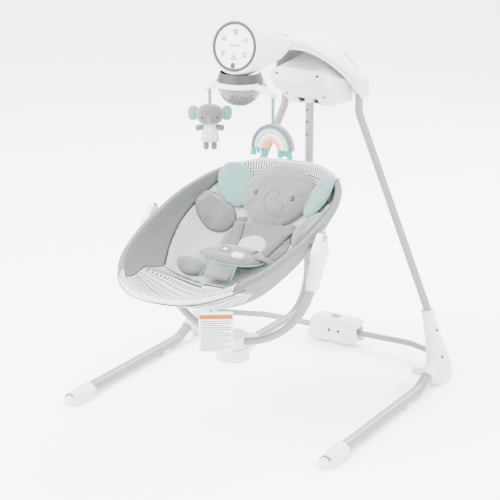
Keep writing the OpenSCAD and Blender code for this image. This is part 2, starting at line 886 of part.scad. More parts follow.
color(grey) seat_yoke();
color(white) seat_hub();  // seat_hub_right
color(white) mirror([1, 0, 0]) seat_hub();  // seat_hub_left
color(teal) recline_button();  // recline_button_right
color(teal) mirror([1, 0, 0]) recline_button();  // recline_button_left
color(grey) seat_hoop();
color(soft_grey) seat_sling();
color(white) seat_pad();
color("darkgray") body_support();
color("slategray") harness();
color(white) seat_tag();
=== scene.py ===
import math
import bpy
import bmesh
import numpy as np
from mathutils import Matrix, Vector
from mathutils.bvhtree import BVHTree


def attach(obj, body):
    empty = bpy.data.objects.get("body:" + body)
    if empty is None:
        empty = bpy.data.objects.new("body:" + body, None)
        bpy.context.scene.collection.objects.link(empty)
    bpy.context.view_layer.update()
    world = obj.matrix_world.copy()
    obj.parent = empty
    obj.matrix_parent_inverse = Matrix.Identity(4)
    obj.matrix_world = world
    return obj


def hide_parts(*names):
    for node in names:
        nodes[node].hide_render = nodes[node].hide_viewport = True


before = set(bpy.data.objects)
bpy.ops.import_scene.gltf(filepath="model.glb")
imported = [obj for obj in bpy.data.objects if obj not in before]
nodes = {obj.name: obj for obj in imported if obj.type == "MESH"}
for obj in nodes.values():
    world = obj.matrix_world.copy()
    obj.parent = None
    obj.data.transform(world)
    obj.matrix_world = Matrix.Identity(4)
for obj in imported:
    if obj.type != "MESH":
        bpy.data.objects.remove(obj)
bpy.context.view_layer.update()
TAU = 2 * math.pi


# ---------- materials ----------

class Graph:
    """A short way to build one material's node tree."""

    def __init__(self, name, color, rough, metal=0.0):
        self.mat = bpy.data.materials.new(name)
        self.mat.use_nodes = True
        self.tree = self.mat.node_tree
        self.shader = self.tree.nodes["Principled BSDF"]
        self.set("Base Color", (*color, 1))
        self.set("Roughness", rough)
        self.set("Metallic", metal)
        self.mat.diffuse_color = (*color, 1)
        self.coords = self.add("ShaderNodeTexCoord").outputs["Object"]

    def set(self, socket, value):
        self.shader.inputs[socket].default_value = value

    def add(self, kind, **props):
        n = self.tree.nodes.new(kind)
        for k, v in props.items():
            setattr(n, k, v)
        return n

    def put(self, value, socket):
        if isinstance(value, (int, float, tuple)):
            socket.default_value = value
        else:
            self.tree.links.new(value, socket)

    def math(self, op, a, b=0.0, c=0.0):
        n = self.add("ShaderNodeMath", operation=op)
        for v, s in zip((a, b, c), n.inputs):
            self.put(v, s)
        return n.outputs[0]

    def noise(self, scale, detail=3.0):
        n = self.add("ShaderNodeTexNoise")
        n.inputs["Scale"].default_value = scale
        n.inputs["Detail"].default_value = detail
        self.put(self.coords, n.inputs["Vector"])
        return n.outputs["Fac"]

    def attribute(self, name):
        return self.add("ShaderNodeAttribute", attribute_name=name).outputs["Fac"]

    def mix(self, fac, a, b):
        n = self.add("ShaderNodeMix", data_type="RGBA")
        for v, s in zip((fac, a, b), (n.inputs[0], n.inputs[6], n.inputs[7])):
            self.put((*v, 1) if isinstance(v, tuple) and len(v) == 3 else v, s)
        return n.outputs[2]

    def base(self, socket):
        self.tree.links.new(socket, self.shader.inputs["Base Color"])

    def bump(self, height, distance, strength=1.0, normal=None):
        n = self.add("ShaderNodeBump")
        n.inputs["Strength"].default_value = strength
        n.inputs["Distance"].default_value = distance
        self.put(height, n.inputs["Height"])
        if normal is not None:
            self.put(normal, n.inputs["Normal"])
        self.tree.links.new(n.outputs[0], self.shader.inputs["Normal"])

    def rounded(self, radius):
        n = self.add("ShaderNodeBevel", samples=4)
        n.inputs["Radius"].default_value = radius
        return n.outputs[0]

    def weave(self, pitch):
        """Crossing threads: the sum of sines along the three axes, pitch apart."""
        scale = self.add("ShaderNodeVectorMath", operation="SCALE")
        self.put(self.coords, scale.inputs[0])
        scale.inputs["Scale"].default_value = TAU / pitch
        sine = self.add("ShaderNodeVectorMath", operation="SINE")
        self.put(scale.outputs[0], sine.inputs[0])
        part = self.add("ShaderNodeSeparateXYZ")
        self.put(sine.outputs[0], part.inputs[0])
        xy = self.math("MULTIPLY", part.outputs[0], part.outputs[1])
        return self.math("ADD", xy, self.math("MULTIPLY", part.outputs[2], part.outputs[1]))


def shade(color, k):
    return tuple(min(1.0, c * k) for c in color)


def plastic(name, color, rough=0.42, grain=0.00006, edge=0.0012, coat=0.0):
    g = Graph(name, color, rough)
    g.base(g.mix(g.noise(14), shade(color, 0.97), shade(color, 1.02)))
    g.bump(g.noise(1400, 2), grain, 0.5, g.rounded(edge))
    g.set("Coat Weight", coat)
    return g.mat


def metal(name, color, rough, metallic, grain=0.00002):
    g = Graph(name, color, rough, metallic)
    g.base(g.mix(g.noise(9), shade(color, 0.96), shade(color, 1.03)))
    g.bump(g.noise(900, 2), grain, 0.4, g.rounded(0.0006))
    return g.mat


def fabric(name, color, pitch=0.0022, depth=0.0006, melange=0.1, sheen=0.25):
    g = Graph(name, color, 0.92)
    cloud = g.math("ADD", g.math("MULTIPLY", g.noise(260, 2), 0.6), g.math("MULTIPLY", g.noise(22), 0.4))
    g.base(g.mix(cloud, shade(color, 1 - melange), shade(color, 1 + melange)))
    g.bump(g.math("ADD", g.weave(pitch), g.noise(700, 2)), depth, 0.6)
    g.set("Sheen Weight", sheen)
    g.set("Sheen Roughness", 0.5)
    return g.mat


def plush(name, color, depth=0.0012):
    g = Graph(name, color, 0.95)
    fuzz = g.noise(620, 4)
    g.base(g.mix(fuzz, shade(color, 0.86), shade(color, 1.1)))
    g.bump(g.math("ADD", fuzz, g.math("MULTIPLY", g.noise(60), 1.4)), depth, 0.55)
    g.set("Sheen Weight", 0.45)
    g.set("Sheen Roughness", 0.55)
    return g.mat


GREY = (0.076, 0.083, 0.083)
PALE = (0.098, 0.104, 0.096)
MINT = (0.078, 0.190, 0.182)
WHITE = (0.53, 0.532, 0.518)
M = {
    "white": plastic("white_moulding", WHITE),
    "panel": plastic("panel_film", (0.58, 0.61, 0.59), 0.3, 0.00002, 0.0006, 0.3),
    "collar": plastic("smoked_collar", (0.010, 0.0105, 0.0085), 0.5),
    "seamgrey": plastic("seam_shadow", (0.26, 0.26, 0.255), 0.6),
    "clip": plastic("clip_moulding", (0.36, 0.42, 0.40), 0.4),
    "pale": plush("pale_plush", (0.48, 0.58, 0.55)),
    "dark": plastic("dark_moulding", (0.010, 0.0105, 0.011), 0.5),
    "line": plastic("fine_line", (0.006, 0.0065, 0.007), 0.6, 0.00002, 0.0002),
    "tube": metal("silver_paint", (0.155, 0.16, 0.154), 0.36, 0.2),
    "steel": metal("ground_steel", (0.40, 0.40, 0.41), 0.3, 0.95),
    "copper": metal("coil_wire", (0.45, 0.20, 0.08), 0.35, 0.9),
    "board": plastic("solder_mask", (0.01, 0.12, 0.04), 0.35),
    "cell": plastic("cell_case", (0.03, 0.035, 0.04), 0.3),
    "nylon": plastic("nylon", (0.45, 0.40, 0.30), 0.5),
    "teal": plastic("teal_button", (0.015, 0.36, 0.25), 0.35),
    "web": fabric("webbing", (0.070, 0.073, 0.073), 0.003, 0.0009),
    "pipe": fabric("dark_piping", (0.020, 0.023, 0.024), 0.002, sheen=0.0),
    # near-black cloth: painted shadow in the gap beside the crotch panel
    "void": fabric("painted_shadow_cloth", (0.004, 0.004, 0.005), 0.002, sheen=0.0),
    "mintpipe": fabric("mint_piping", (0.050, 0.22, 0.185), 0.002),
    "plush": plush("grey_plush", PALE),
    # a darker copy of the grey plush for the limbs, torso, waist pad and crotch panel: partly their own
    # darker grey, partly painted shade
    "limb": plush("grey_plush_partly_shaded", (0.070, 0.074, 0.071)),
    "mint": plush("mint_plush", MINT),
    "toygrey": plush("toy_plush", (0.069, 0.073, 0.081)),
    "ribbon": fabric("teal_ribbon", (0.050, 0.155, 0.140), 0.0015, 0.0004),
    "slate": plush("slate_plush", (0.042, 0.056, 0.056)),
    "palemint": plush("palemint_plush", (0.17, 0.40, 0.355)),
    "peach": plush("peach_plush", (0.60, 0.14, 0.055)),
    "blush": plush("blush_plush", (0.66, 0.31, 0.21)),
    "fringe": fabric("fringe_ribbon", (0.001, 0.22, 0.205), 0.0018, sheen=0.0),
    "tag": fabric("tag_cloth", (0.62, 0.62, 0.61), 0.0012, 0.0002, 0.02, 0.0),
    "tagband": fabric("tag_band", (0.26, 0.070, 0.0005), 0.0012, 0.0002, 0.04, 0.0),
    "ink": fabric("tag_stitch", (0.055, 0.055, 0.055), 0.0012, 0.0001, 0.04, 0.0),
}


def dome_material():
    g = Graph("smoked_dome", (0.085, 0.086, 0.074), 0.22)
    cells = g.add("ShaderNodeTexVoronoi", feature="DISTANCE_TO_EDGE")
    cells.inputs["Scale"].default_value = 75
    g.put(g.coords, cells.inputs["Vector"])
    line = g.math("LESS_THAN", cells.outputs["Distance"], 0.05)
    g.base(g.mix(line, (0.085, 0.086, 0.074), (0.145, 0.147, 0.13)))
    g.bump(line, 0.0006, 0.5)
    g.set("Transmission Weight", 0.25)
    g.set("Coat Weight", 0.5)
    g.set("IOR", 1.45)
    return g.mat


M["dome"] = dome_material()


def grid_fabric(name, cell=0.0130, color=(0.33, 0.36, 0.35), tilt=-15):
    """White cloth woven with a small raised grid, in the tilted plane of the seat."""
    g = Graph(name, color, 0.9)
    turn = g.add("ShaderNodeMapping", vector_type="POINT")
    turn.inputs["Rotation"].default_value = (math.radians(tilt), 0, 0)
    g.put(g.coords, turn.inputs["Vector"])
    part = g.add("ShaderNodeSeparateXYZ")
    g.put(turn.outputs[0], part.inputs[0])

    def line(axis):
        wave = g.math("SINE", g.math("MULTIPLY", part.outputs[axis], TAU / cell))
        return g.math("POWER", g.math("ABSOLUTE", wave), 0.6)
    cells = g.math("MULTIPLY", line(0), line(1))
    g.base(g.mix(cells, shade(color, 0.50), shade(color, 1.25)))
    g.bump(cells, 0.0016, 0.8)
    g.set("Sheen Weight", 0.2)
    return g


def liner_material():
    """The seat liner: a grid pad, grey side bands, and end bands woven with rows of dashes."""
    g = grid_fabric("seat_liner")
    grid = g.shader.inputs["Base Color"].links[0].from_socket
    side, band, along = (g.attribute(n) for n in ("side", "band", "along"))
    cloth, ink = (0.50, 0.53, 0.52), (0.014, 0.016, 0.016)
    deep = g.math("MODULO", g.math("ADD", band, 1.0), 0.034)
    marks = None
    rows = [(0.003, 0.0026, 0.0062, 0.70, 0.0), (0.0100, 0.0062, 0.0064, 0.42, 0.6),
            (0.0165, 0.0024, 0.5, 1.1, 0.0), (0.0225, 0.0056, 0.0070, 0.42, -0.5),
            (0.0290, 0.0022, 0.0048, 0.72, 0.0)]
    for mid, height, pitch, duty, slant in rows:
        off = g.math("SUBTRACT", deep, mid)
        near = g.math("LESS_THAN", g.math("ABSOLUTE", off), height / 2)
        run = g.math("ADD", along, g.math("MULTIPLY", off, slant))
        part = g.math("FRACT", g.math("DIVIDE", g.math("ADD", run, 5.0), pitch))
        dash = g.math("MULTIPLY", near, g.math("LESS_THAN", part, duty))
        marks = dash if marks is None else g.math("MAXIMUM", marks, dash)
    rowed = g.mix(marks, cloth, ink)
    cloud = g.math("ADD", g.math("MULTIPLY", g.noise(260, 2), 0.6), g.math("MULTIPLY", g.noise(22), 0.4))
    sides = g.mix(cloud, shade(GREY, 0.9), shade(GREY, 1.1))
    ends = g.mix(g.math("GREATER_THAN", band, 0.0), grid, rowed)
    g.base(g.mix(g.math("GREATER_THAN", side, 0.0), ends, sides))
    plain = g.math("MAXIMUM", g.math("GREATER_THAN", side, 0.0), g.math("GREATER_THAN", band, 0.0))
    cells = g.shader.inputs["Normal"].links[0].from_node.inputs["Height"].links[0].from_socket
    fine = g.math("MULTIPLY", g.math("ADD", g.weave(0.0022), g.noise(700, 2)), 0.3)
    kept = g.math("MULTIPLY", cells, g.math("SUBTRACT", 1.0, plain))
    g.bump(g.math("ADD", kept, g.math("MULTIPLY", fine, 0.9)), 0.0014, 0.7)
    return g.mat


M["liner"] = liner_material()
M["grid"] = grid_fabric("grid_cloth").mat
M["smallgrid"] = grid_fabric("small_grid_cloth", 0.0110, (0.46, 0.47, 0.48), -90).mat


# ---------- mesh helpers ----------

def power(x, e):
    return math.copysign(abs(x) ** e, x)


def oval(a, b, count, e=1.0):
    """Points round an oval of half sizes a and b, squarer when e is below 1."""
    return [(a * power(math.cos(i * TAU / count), e), b * power(math.sin(i * TAU / count), e))
            for i in range(count)]


def mesh_piece(name, verts, faces, mat, body, smooth=True, slot=None, replaces=()):
    data = bpy.data.meshes.new(name)
    data.from_pydata([tuple(v) for v in verts], [], [tuple(f) for f in faces])
    data.validate()
    bm = bmesh.new()
    bm.from_mesh(data)
    bmesh.ops.recalc_face_normals(bm, faces=bm.faces)
    bm.to_mesh(data)
    bm.free()
    data.shade_smooth() if smooth else data.shade_flat()
    obj = bpy.data.objects.new(name, data)
    bpy.context.scene.collection.objects.link(obj)
    obj.data.materials.append(M[mat])
    if body:
        settle(obj, body, replaces)
    return obj


def settle(obj, body, replaces=()):
    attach(obj, body)
    if replaces:
        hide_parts(*replaces)
    return obj


def grid_faces(rows, cols, closed_rows=False):
    """The quads between rings of cols points, row after row."""
    out = []
    for k in range(rows if closed_rows else rows - 1):
        for i in range(cols):
            a, b = k * cols + i, k * cols + (i + 1) % cols
            c = (k + 1) % rows * cols
            out.append((a, b, c + (i + 1) % cols, c + i))
    return out


def loft(rings, caps=True):
    """Vertices and faces of a solid through closed rings."""
    n = len(rings[0])
    verts = [p for r in rings for p in r]
    faces = grid_faces(len(rings), n)
    if caps:
        faces.append(tuple(range(n)))
        faces.append(tuple(len(verts) - 1 - i for i in range(n)))
    return verts, faces


class Parts:
    """Several closed shapes gathered into one mesh."""

    def __init__(self):
        self.verts, self.faces = [], []

    def add(self, verts, faces):
        k = len(self.verts)
        self.verts += [tuple(v) for v in verts]
        self.faces += [tuple(i + k for i in f) for f in faces]
        return self

    def tube(self, path, radius, closed=False, sides=8, up=None):
        p = np.array(path, float)
        n = len(p)
        ahead = np.roll(p, -1, 0) - np.roll(p, 1, 0)
        if not closed:
            ahead[0], ahead[-1] = p[1] - p[0], p[-1] - p[-2]
        ahead /= np.linalg.norm(ahead, axis=1)[:, None] + 1e-12
        ref = np.array(up if up is not None else (0, 0, 1.0))
        rings = []
        for k in range(n):
            side = np.cross(ahead[k], ref)
            if np.linalg.norm(side) < 1e-3:
                side = np.cross(ahead[k], (0, 1.0, 0))
            side /= np.linalg.norm(side)
            high = np.cross(side, ahead[k])
            r = radius if np.isscalar(radius) else radius[k]
            rings.append([p[k] + r * (math.cos(j * TAU / sides) * side
                          + math.sin(j * TAU / sides) * high) for j in range(sides)])
        if closed:
            self.add([q for r in rings for q in r], grid_faces(n, sides, closed_rows=True))
        else:
            self.add(*loft(rings))
        return self

    def blob(self, centre, radii, fullness=2.0, rings=14, cols=24, turn=None):
        """A closed rounded form, boxier than an ellipsoid when fullness is above 2."""
        def pw(x):
            return power(x, 2 / fullness)
        out = []
        for k in range(1, rings):
            a = math.pi * k / rings - math.pi / 2
            out.append([np.array((radii[0] * pw(math.cos(a)) * pw(math.cos(j * TAU / cols)),
                                  radii[1] * pw(math.cos(a)) * pw(math.sin(j * TAU / cols)),
                                  radii[2] * pw(math.sin(a)))) for j in range(cols)])
        if turn is not None:
            out = [[turn @ q for q in r] for r in out]
        return self.add(*loft([[q + np.array(centre) for q in r] for r in out]))

    def disc(self, centre, normal, radius, height, sides=24):
        """A short button lying along normal, with a softly rounded rim."""
        z = Vector(normal).normalized()
        x = z.orthogonal().normalized()
        y = z.cross(x)
        c = Vector(centre)
        prof = [(0.92, 0), (1, 0), (1, 0.7), (0.93, 0.95), (0.7, 1.0), (0.25, 1.0)]
        rings = [[c + z * (h * height) + (x * math.cos(j * TAU / sides)
                  + y * math.sin(j * TAU / sides)) * (radius * q) for j in range(sides)]
                 for q, h in prof]
        return self.add(*loft(rings))

    def make(self, name, mat, body, slot=None, replaces=(), smooth=True):
        return mesh_piece(name, self.verts, self.faces, mat, body, smooth, slot, replaces)


def smooth_curve(points, k=6, closed=False):
    """Catmull-Rom through the points, k steps to each."""
    p = [np.array(q, float) for q in points]
    n = len(p)
    out = []
    for i in range(n if closed else n - 1):
        if closed:
            a, b, c, d = p[i - 1], p[i], p[(i + 1) % n], p[(i + 2) % n]
        else:
            a, b, c, d = p[max(i - 1, 0)], p[i], p[i + 1], p[min(i + 2, n - 1)]
        for j in range(k):
            t = j / k
            out.append(0.5 * (2 * b + (c - a) * t + (2 * a - 5 * b + 4 * c - d) * t * t
                              + (3 * b - a - 3 * c + d) * t ** 3))
    if not closed:
        out.append(p[-1])
    return out


def apply_modifiers(obj):
    dg = bpy.context.evaluated_depsgraph_get()
    data = bpy.data.meshes.new_from_object(obj.evaluated_get(dg))
    obj.modifiers.clear()
    old, obj.data = obj.data, data
    bpy.data.meshes.remove(old)


def coords_of(obj):
    co = np.empty(len(obj.data.vertices) * 3)
    obj.data.vertices.foreach_get("co", co)
    return co.reshape(-1, 3)


def inflate(obj, voxel, cap, pressure=4.0, down=0.15, frames=20):
    """The padded look: the remeshed form swells under pressure, mostly on its upper side."""
    m = obj.modifiers.new("remesh", "REMESH")
    m.mode, m.voxel_size = "VOXEL", voxel
    apply_modifiers(obj)
    rest = coords_of(obj)
    normals = np.empty(len(rest) * 3)
    obj.data.vertices.foreach_get("normal", normals)
    facing = normals.reshape(-1, 3) @ UP
    cloth = obj.modifiers.new("cloth", "CLOTH")
    cloth.settings.use_pressure = True
    cloth.settings.uniform_pressure_force = pressure
    cloth.settings.effector_weights.gravity = 0
    cloth.settings.quality = 5
    scene = bpy.context.scene
    for f in range(1, frames + 1):
        scene.frame_set(f)
    apply_modifiers(obj)
    scene.frame_set(1)
    move = coords_of(obj) - rest
    far = np.linalg.norm(move, axis=1) + 1e-9
    limit = cap * np.clip(facing, down, 1)
    co = rest + move * np.minimum(1, limit / far)[:, None]
    obj.data.vertices.foreach_set("co", co.ravel())
    sub = obj.modifiers.new("sub", "SUBSURF")
    sub.levels = sub.render_levels = 1
    apply_modifiers(obj)
    obj.data.shade_smooth()


# ---------- the shape of the seat, in its own tilted frame ----------

HALF_W, HALF_L, DEPTH, TILT = 0.244, 0.379, 0.155, math.radians(15)
UP = np.array((0, -math.sin(TILT), math.cos(TILT)))
SEAT = np.array((0, -0.139, 0.529))


def on_seat(u, v, w):
    return np.array((u * (1 + 0.06 * v / HALF_L), SEAT[1] + v * math.cos(TILT) - w * math.sin(TILT),
                     SEAT[2] + v * math.sin(TILT) + w * math.cos(TILT)))


def seat_uvw(co):
    y, z = co[:, 1] - SEAT[1], co[:, 2] - SEAT[2]
    v = y * math.cos(TILT) + z * math.sin(TILT)
    w = -y * math.sin(TILT) + z * math.cos(TILT)
    return co[:, 0] / (1 + 0.06 * v / HALF_L), v, w


def rounded(t, n=2.4):
    return power(math.cos(t), 2 / n), power(math.sin(t), 2 / n)


def bowl_point(r, t, off):
    c = rounded(t)
    steep = 3.4 - 1.3 * math.sin(t) ** 2
    return on_seat((HALF_W - off) * r * c[0], (HALF_L - off) * r * c[1] - 0.034 * (1 - r),
                   -(DEPTH - off) * (1 - r ** steep))


def bowl_w(u, v, off=0.023):
    r = 0.5
    for _ in range(8):
        a = (abs(u) / (HALF_W - off)) ** 2.4
        b = (abs(v + 0.034 * (1 - r)) / (HALF_L - off)) ** 2.4
        r = (a + b) ** (1 / 2.4)
    return -(DEPTH - off) * (1 - min(r, 1.0) ** (3.4 - 1.3 * b / (a + b + 1e-9)))


def side_edge(v, s=1):
    """Half width where the grey side band begins, on the side that s is the sign of."""
    if v < -0.165:
        return 0.186 - (0.02 if s > 0 else 0.21) * (-v - 0.165)
    if v < -0.095:
        return 0.1694 + 0.237 * (-v - 0.095)
    if v > 0.25:
        return 0.172 - 0.2 * (v - 0.25)
    return 0.207 - 1.1 * (v - 0.09) ** 2


def end_edge(u):
    """How far towards the foot the pad reaches before the woven end band."""
    return -0.080 - 0.092 * min(abs(u) / 0.185, 1.2) ** 6


HEAD_BAND = 0.27


def mark_regions(obj, outer=0):
    """Mark the bands of the cover; its first vertices are its plain underside."""
    u, v, w = seat_uvw(coords_of(obj))
    side = np.array([abs(a) - side_edge(b, a) for a, b in zip(u, v)])
    side[:outer] = np.maximum(side, np.maximum(v + 0.2, -0.085 - w))[:outer]
    edge = np.array([end_edge(a) for a in u])
    band = np.maximum(edge - v, v - HEAD_BAND + 0.8 * u ** 2)
    r = np.full(len(u), 0.9)
    for _ in range(8):
        x, y = np.abs(u) / HALF_W, np.abs(v + 0.034 * (1 - r)) / HALF_L
        r = (x ** 2.4 + y ** 2.4) ** (1 / 2.4)
    rim = HALF_L * (1 - np.minimum(np.abs(u) / HALF_W, 0.995) ** 2.4) ** (1 / 2.4)
    across = (edge - v) / np.maximum(edge + rim, 0.004)
    rows = np.where(v < 0, across * 0.068, (1.03 - r) * 0.36)
    band = np.where(band > 0, np.maximum(rows, 0.0005), band)
    for name, values in (("side", side), ("band", band), ("along", u)):
        a = obj.data.attributes.get(name) or obj.data.attributes.new(name, "FLOAT", "POINT")
        a.data.foreach_set("value", values.astype(np.float32))


# ---------- seat cover, rim and pad ----------

def build_cover():
    cols = 200
    ts = [i * TAU / cols for i in range(cols)]
    rings = []
    for r in np.linspace(0.12, 0.985, 30):
        rings.append([bowl_point(r, t, 0.0) for t in ts])
    bead = 0.011
    for a in np.linspace(200, 50, 12):
        c, s = math.cos(math.radians(a)), math.sin(math.radians(a))
        inset, depth = bead * (1 + c), -bead * s
        ring = []
        for t in ts:
            q = rounded(t)
            ring.append(on_seat((HALF_W - inset) * q[0], (HALF_L - inset) * q[1], -depth))
        rings.append(ring)
    for r in np.linspace(0.955, 0.12, 30):
        rings.append([bowl_point(r, t, 0.006) for t in ts])
    verts, faces = loft(rings)
    verts = [np.array(p) for p in verts]
    for p in verts:
        ripple = 0.0012 * math.sin(31 * p[0] + 12 * p[1]) * math.sin(23 * p[1] + 9 * p[2])
        p += UP * ripple
    return mesh_piece("seat_cover", verts, faces, "liner", None)


def pad_limit(t):
    """How far out the pad reaches before the piping round it."""
    for r in np.linspace(0.3, 0.95, 131):
        u, v, _ = (float(c[0]) for c in seat_uvw(bowl_point(r, t, 0.0085)[None]))
        if max(abs(u) - side_edge(v, u), end_edge(u) - v, v - HEAD_BAND + 0.8 * u * u) > -0.001:
            return r
    return 0.95


def build_pad():
    cols = 160
    ts = [i * TAU / cols for i in range(cols)]
    limit = [pad_limit(t) for t in ts]
    steps = (0.1, 0.35, 0.55, 0.75, 0.9)
    rings = [[bowl_point(r * m, t, 0.0065) for t, m in zip(ts, limit)] for r in steps + (0.98,)]
    rings += [[bowl_point(m, t, 0.009) for t, m in zip(ts, limit)]]
    rings += [[bowl_point(r * m, t, 0.014) for t, m in zip(ts, limit)] for r in (0.985,) + steps[::-1]]
    verts, faces = loft(rings)
    return mesh_piece("seat_liner_pad", verts, faces, "liner", None)


cover = build_cover()
mark_regions(cover, 30 * 200)
settle(cover, "seat", ["seat_sling"])
pad = build_pad()
inflate(pad, 0.005, 0.003, 1.5)
mark_regions(pad)
settle(pad, "seat", ["seat_pad"])


def tree_of(*objs):
    verts, polys = [], []
    for o in objs:
        k = len(verts)
        verts += [tuple(c) for c in coords_of(o)]
        polys += [tuple(i + k for i in p.vertices) for p in o.data.polygons]
    return BVHTree.FromPolygons(verts, polys)


def drop(tree, u, v, lift=0.0):
    """The point of the seat's surface under (u, v), lifted off it along its normal."""
    start = Vector(on_seat(u, v, 0.16))
    hit, normal, _, _ = tree.ray_cast(start, Vector(-UP))
    if hit is None:
        return np.array(on_seat(u, v, bowl_w(u, v, 0.017) + lift))
    if normal.dot(Vector(UP)) < 0:
        normal = -normal
    return np.array(hit + normal * lift)


surface = tree_of(cover, pad)

# dark piping along the side bands, and stitches along the woven bands
pipes, threads = Parts(), Parts()
for s in (-1, 1):
    line = [(s * side_edge(v, s), v) for v in np.linspace(-0.095, 0.262, 60)]
    pipes.tube([drop(surface, a, b, 0.0012) for a, b in line], 0.0021)
    line = [(s * side_edge(v, s), v) for v in np.linspace(-0.284, -0.097, 34)]
    threads.tube([drop(surface, a, b, 0.0006) for a, b in line], 0.0011)
    line = [(s * side_edge(v, s), v) for v in np.linspace(0.262, 0.33, 16)]
    threads.tube([drop(surface, a, b, 0.0006) for a, b in line], 0.0011)
pipes.make("seat_side_piping", "pipe", "seat", "sling_cloth")


def stitches(parts, path, pitch=0.006, radius=0.0009):
    p = np.array(path)
    step = np.concatenate([[0], np.cumsum(np.linalg.norm(np.diff(p, axis=0), axis=1))])
    for s in np.arange(0, step[-1] - pitch * 0.6, pitch):
        a, b = ([np.interp(x, step, p[:, k]) for k in range(3)] for x in (s, s + pitch * 0.6))
        parts.tube([a, b], radius, sides=6)


stitches(threads, [drop(surface, u, end_edge(u), 0.0006) for u in np.linspace(-0.184, 0.184, 90)])
stitches(threads, [drop(surface, u, HEAD_BAND - 0.8 * u * u, 0.0006) for u in np.linspace(-0.165, 0.165, 80)])
threads.make("seat_band_stitching", "pipe", "seat", "sling_cloth")


def rim_line(t0, t1, inset, w, count=120):
    out = []
    for t in np.linspace(math.radians(t0), math.radians(t1), count):
        q = rounded(t)
        out.append(on_seat((HALF_W - inset) * q[0], (HALF_L - inset) * q[1], w))
    return out


# Dark lines round the rim: the one under the bead at the foot end is painted shadow in the gap between the
# cover's bead and the shell below it; the one along the bead's inner edge on the left side is a seam.
rim = Parts()
rim.tube(rim_line(218, 322, -0.0002, -0.0065, 160), 0.0015)
rim.tube(rim_line(-52, 46, 0.0165, 0.0088, 120), 0.0019)
rim.make("seat_rim_shadow_and_seam", "pipe", "seat", "sling_cloth")
under = Parts()
stitches(under, [bowl_point(0.93, math.radians(a), -0.0008) for a in np.linspace(222, 318, 70)], 0.007, 0.001)
under.make("seat_underside_stitching", "pipe", "seat", "sling_cloth")


# ---------- plush body on the pad ----------

def turned_oval(centre, half, turn, count, size=1.0):
    """Places on the seat round an oval that is turned in the seat's plane."""
    c, s = math.cos(turn), math.sin(turn)
    return [(centre[0] + size * (x * c - y * s), centre[1] + size * (x * s + y * c))
            for x, y in oval(*half, count)]


def plush_form(name, centre, half, thick, mat, lift=0.001, cap=0.008, voxel=0.0045,
               cols=48, turn=0.0, tree=None):
    """A stuffed form lying on the pad: its underside follows the pad."""
    def ring(size, h):
        return [drop(tree or surface, u, v) + UP * (lift + h)
                for u, v in turned_oval(centre, half, turn, cols, size)]
    rings = [ring(k, 0) for k in (0.2, 0.5, 0.8, 0.95)] + [ring(1, 0.35 * thick)]
    crown = ((0.97, 0.62), (0.86, 0.86), (0.65, 0.97), (0.35, 1.0), (0.12, 1.0))
    rings += [ring(k, h * thick) for k, h in crown]
    obj = mesh_piece(name, *loft(rings), mat, None)
    inflate(obj, voxel, cap)
    settle(obj, "seat")
    return obj


def flat_oval(centre, half, w0, thick, mat, name, cap, voxel=0.0045, droop=0.0, slope=(0.0, 0.0)):
    """A padded oval lying in a plane over the seat, which slopes across and along it."""
    def ring(size, h):
        return [on_seat(centre[0] + x, centre[1] + y,
                        w0 + h - droop * (x / half[0]) ** 2 + slope[0] * x + slope[1] * y)
                for x, y in oval(half[0] * size, half[1] * size, 56)]
    rings = [ring(k, 0) for k in (0.2, 0.6, 0.9)] + [ring(1, 0.4 * thick)]
    rings += [ring(k, thick * h) for k, h in ((0.94, 0.8), (0.75, 1.0), (0.4, 1.0), (0.15, 1.0))]
    obj = mesh_piece(name, *loft(rings), mat, None)
    inflate(obj, voxel, cap)
    return obj


torso = plush_form("plush_torso", (-0.002, 0.108), (0.106, 0.098), 0.008, "limb", cap=0.004)
belly = plush_form("plush_belly", (-0.004, 0.088), (0.049, 0.046), 0.010, "grid", lift=0.007, cap=0.004)
ARMS = {"right": ((-0.148, 0.161), 0.5), "left": ((0.142, 0.161), -0.5)}
FEET = {"right": ((-0.115, -0.045), 0.25), "left": ((0.129, -0.045), -0.25)}
ARM_HALF, FOOT_HALF = (0.054, 0.053), (0.038, 0.034)
for s, side in ((-1, "right"), (1, "left")):
    ear = flat_oval((s * 0.127, 0.255), (0.050 - 0.003 * s, 0.057), -0.028, 0.009, "mint",
                    "plush_ear_" + side, 0.004, slope=(0.62 * s, 0.60))
    settle(ear, "seat")
    for kind, places, half in (("arm", ARMS, ARM_HALF), ("foot", FEET, FOOT_HALF)):
        centre, turn = places[side]
        plush_form("plush_" + kind + "_" + side, centre, half, 0.016, "limb", turn=turn)
pillow = plush_form("plush_head_pillow", (-0.002, 0.259), (0.103, 0.088), 0.036, "plush", lift=0.011,
                    cap=0.010, voxel=0.005, cols=64, tree=tree_of(cover))
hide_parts("body_support")
on_pillow = tree_of(pillow)

face = Parts()
for s in (-1, 1):
    p = drop(on_pillow, s * 0.056 + 0.001, 0.234, 0.0)
    q = drop(on_pillow, s * 0.056 + 0.001, 0.240, 0.0)
    n = np.cross(q - p, (s * 1.0, 0, 0)) * s
    along = (q - p) / np.linalg.norm(q - p)
    turn = np.column_stack(((1, 0, 0), along, UP))
    face.blob(p + UP * 0.0008, (0.0052, 0.0090, 0.0022), rings=8, cols=16, turn=turn)
face.make("plush_eyes", "dark", "seat", "pillow_cloth")

swirl = [(-0.024, 0.002), (-0.021, 0.022), (-0.006, 0.036), (0.010, 0.034), (0.014, 0.018),
         (0.007, 0.004), (0.020, -0.003), (0.037, -0.010), (0.040, -0.028), (0.022, -0.042),
         (-0.002, -0.040), (-0.018, -0.022)]
nose = Parts()
path = [drop(on_pillow, a * 0.95 + 0.001, 0.221 + b * 0.76, 0.0005) for a, b in smooth_curve(swirl, 6, True)]
nose.tube(path, 0.0009, closed=True)
nose.make("plush_trunk_stitching", "web", "seat", "pillow_cloth")

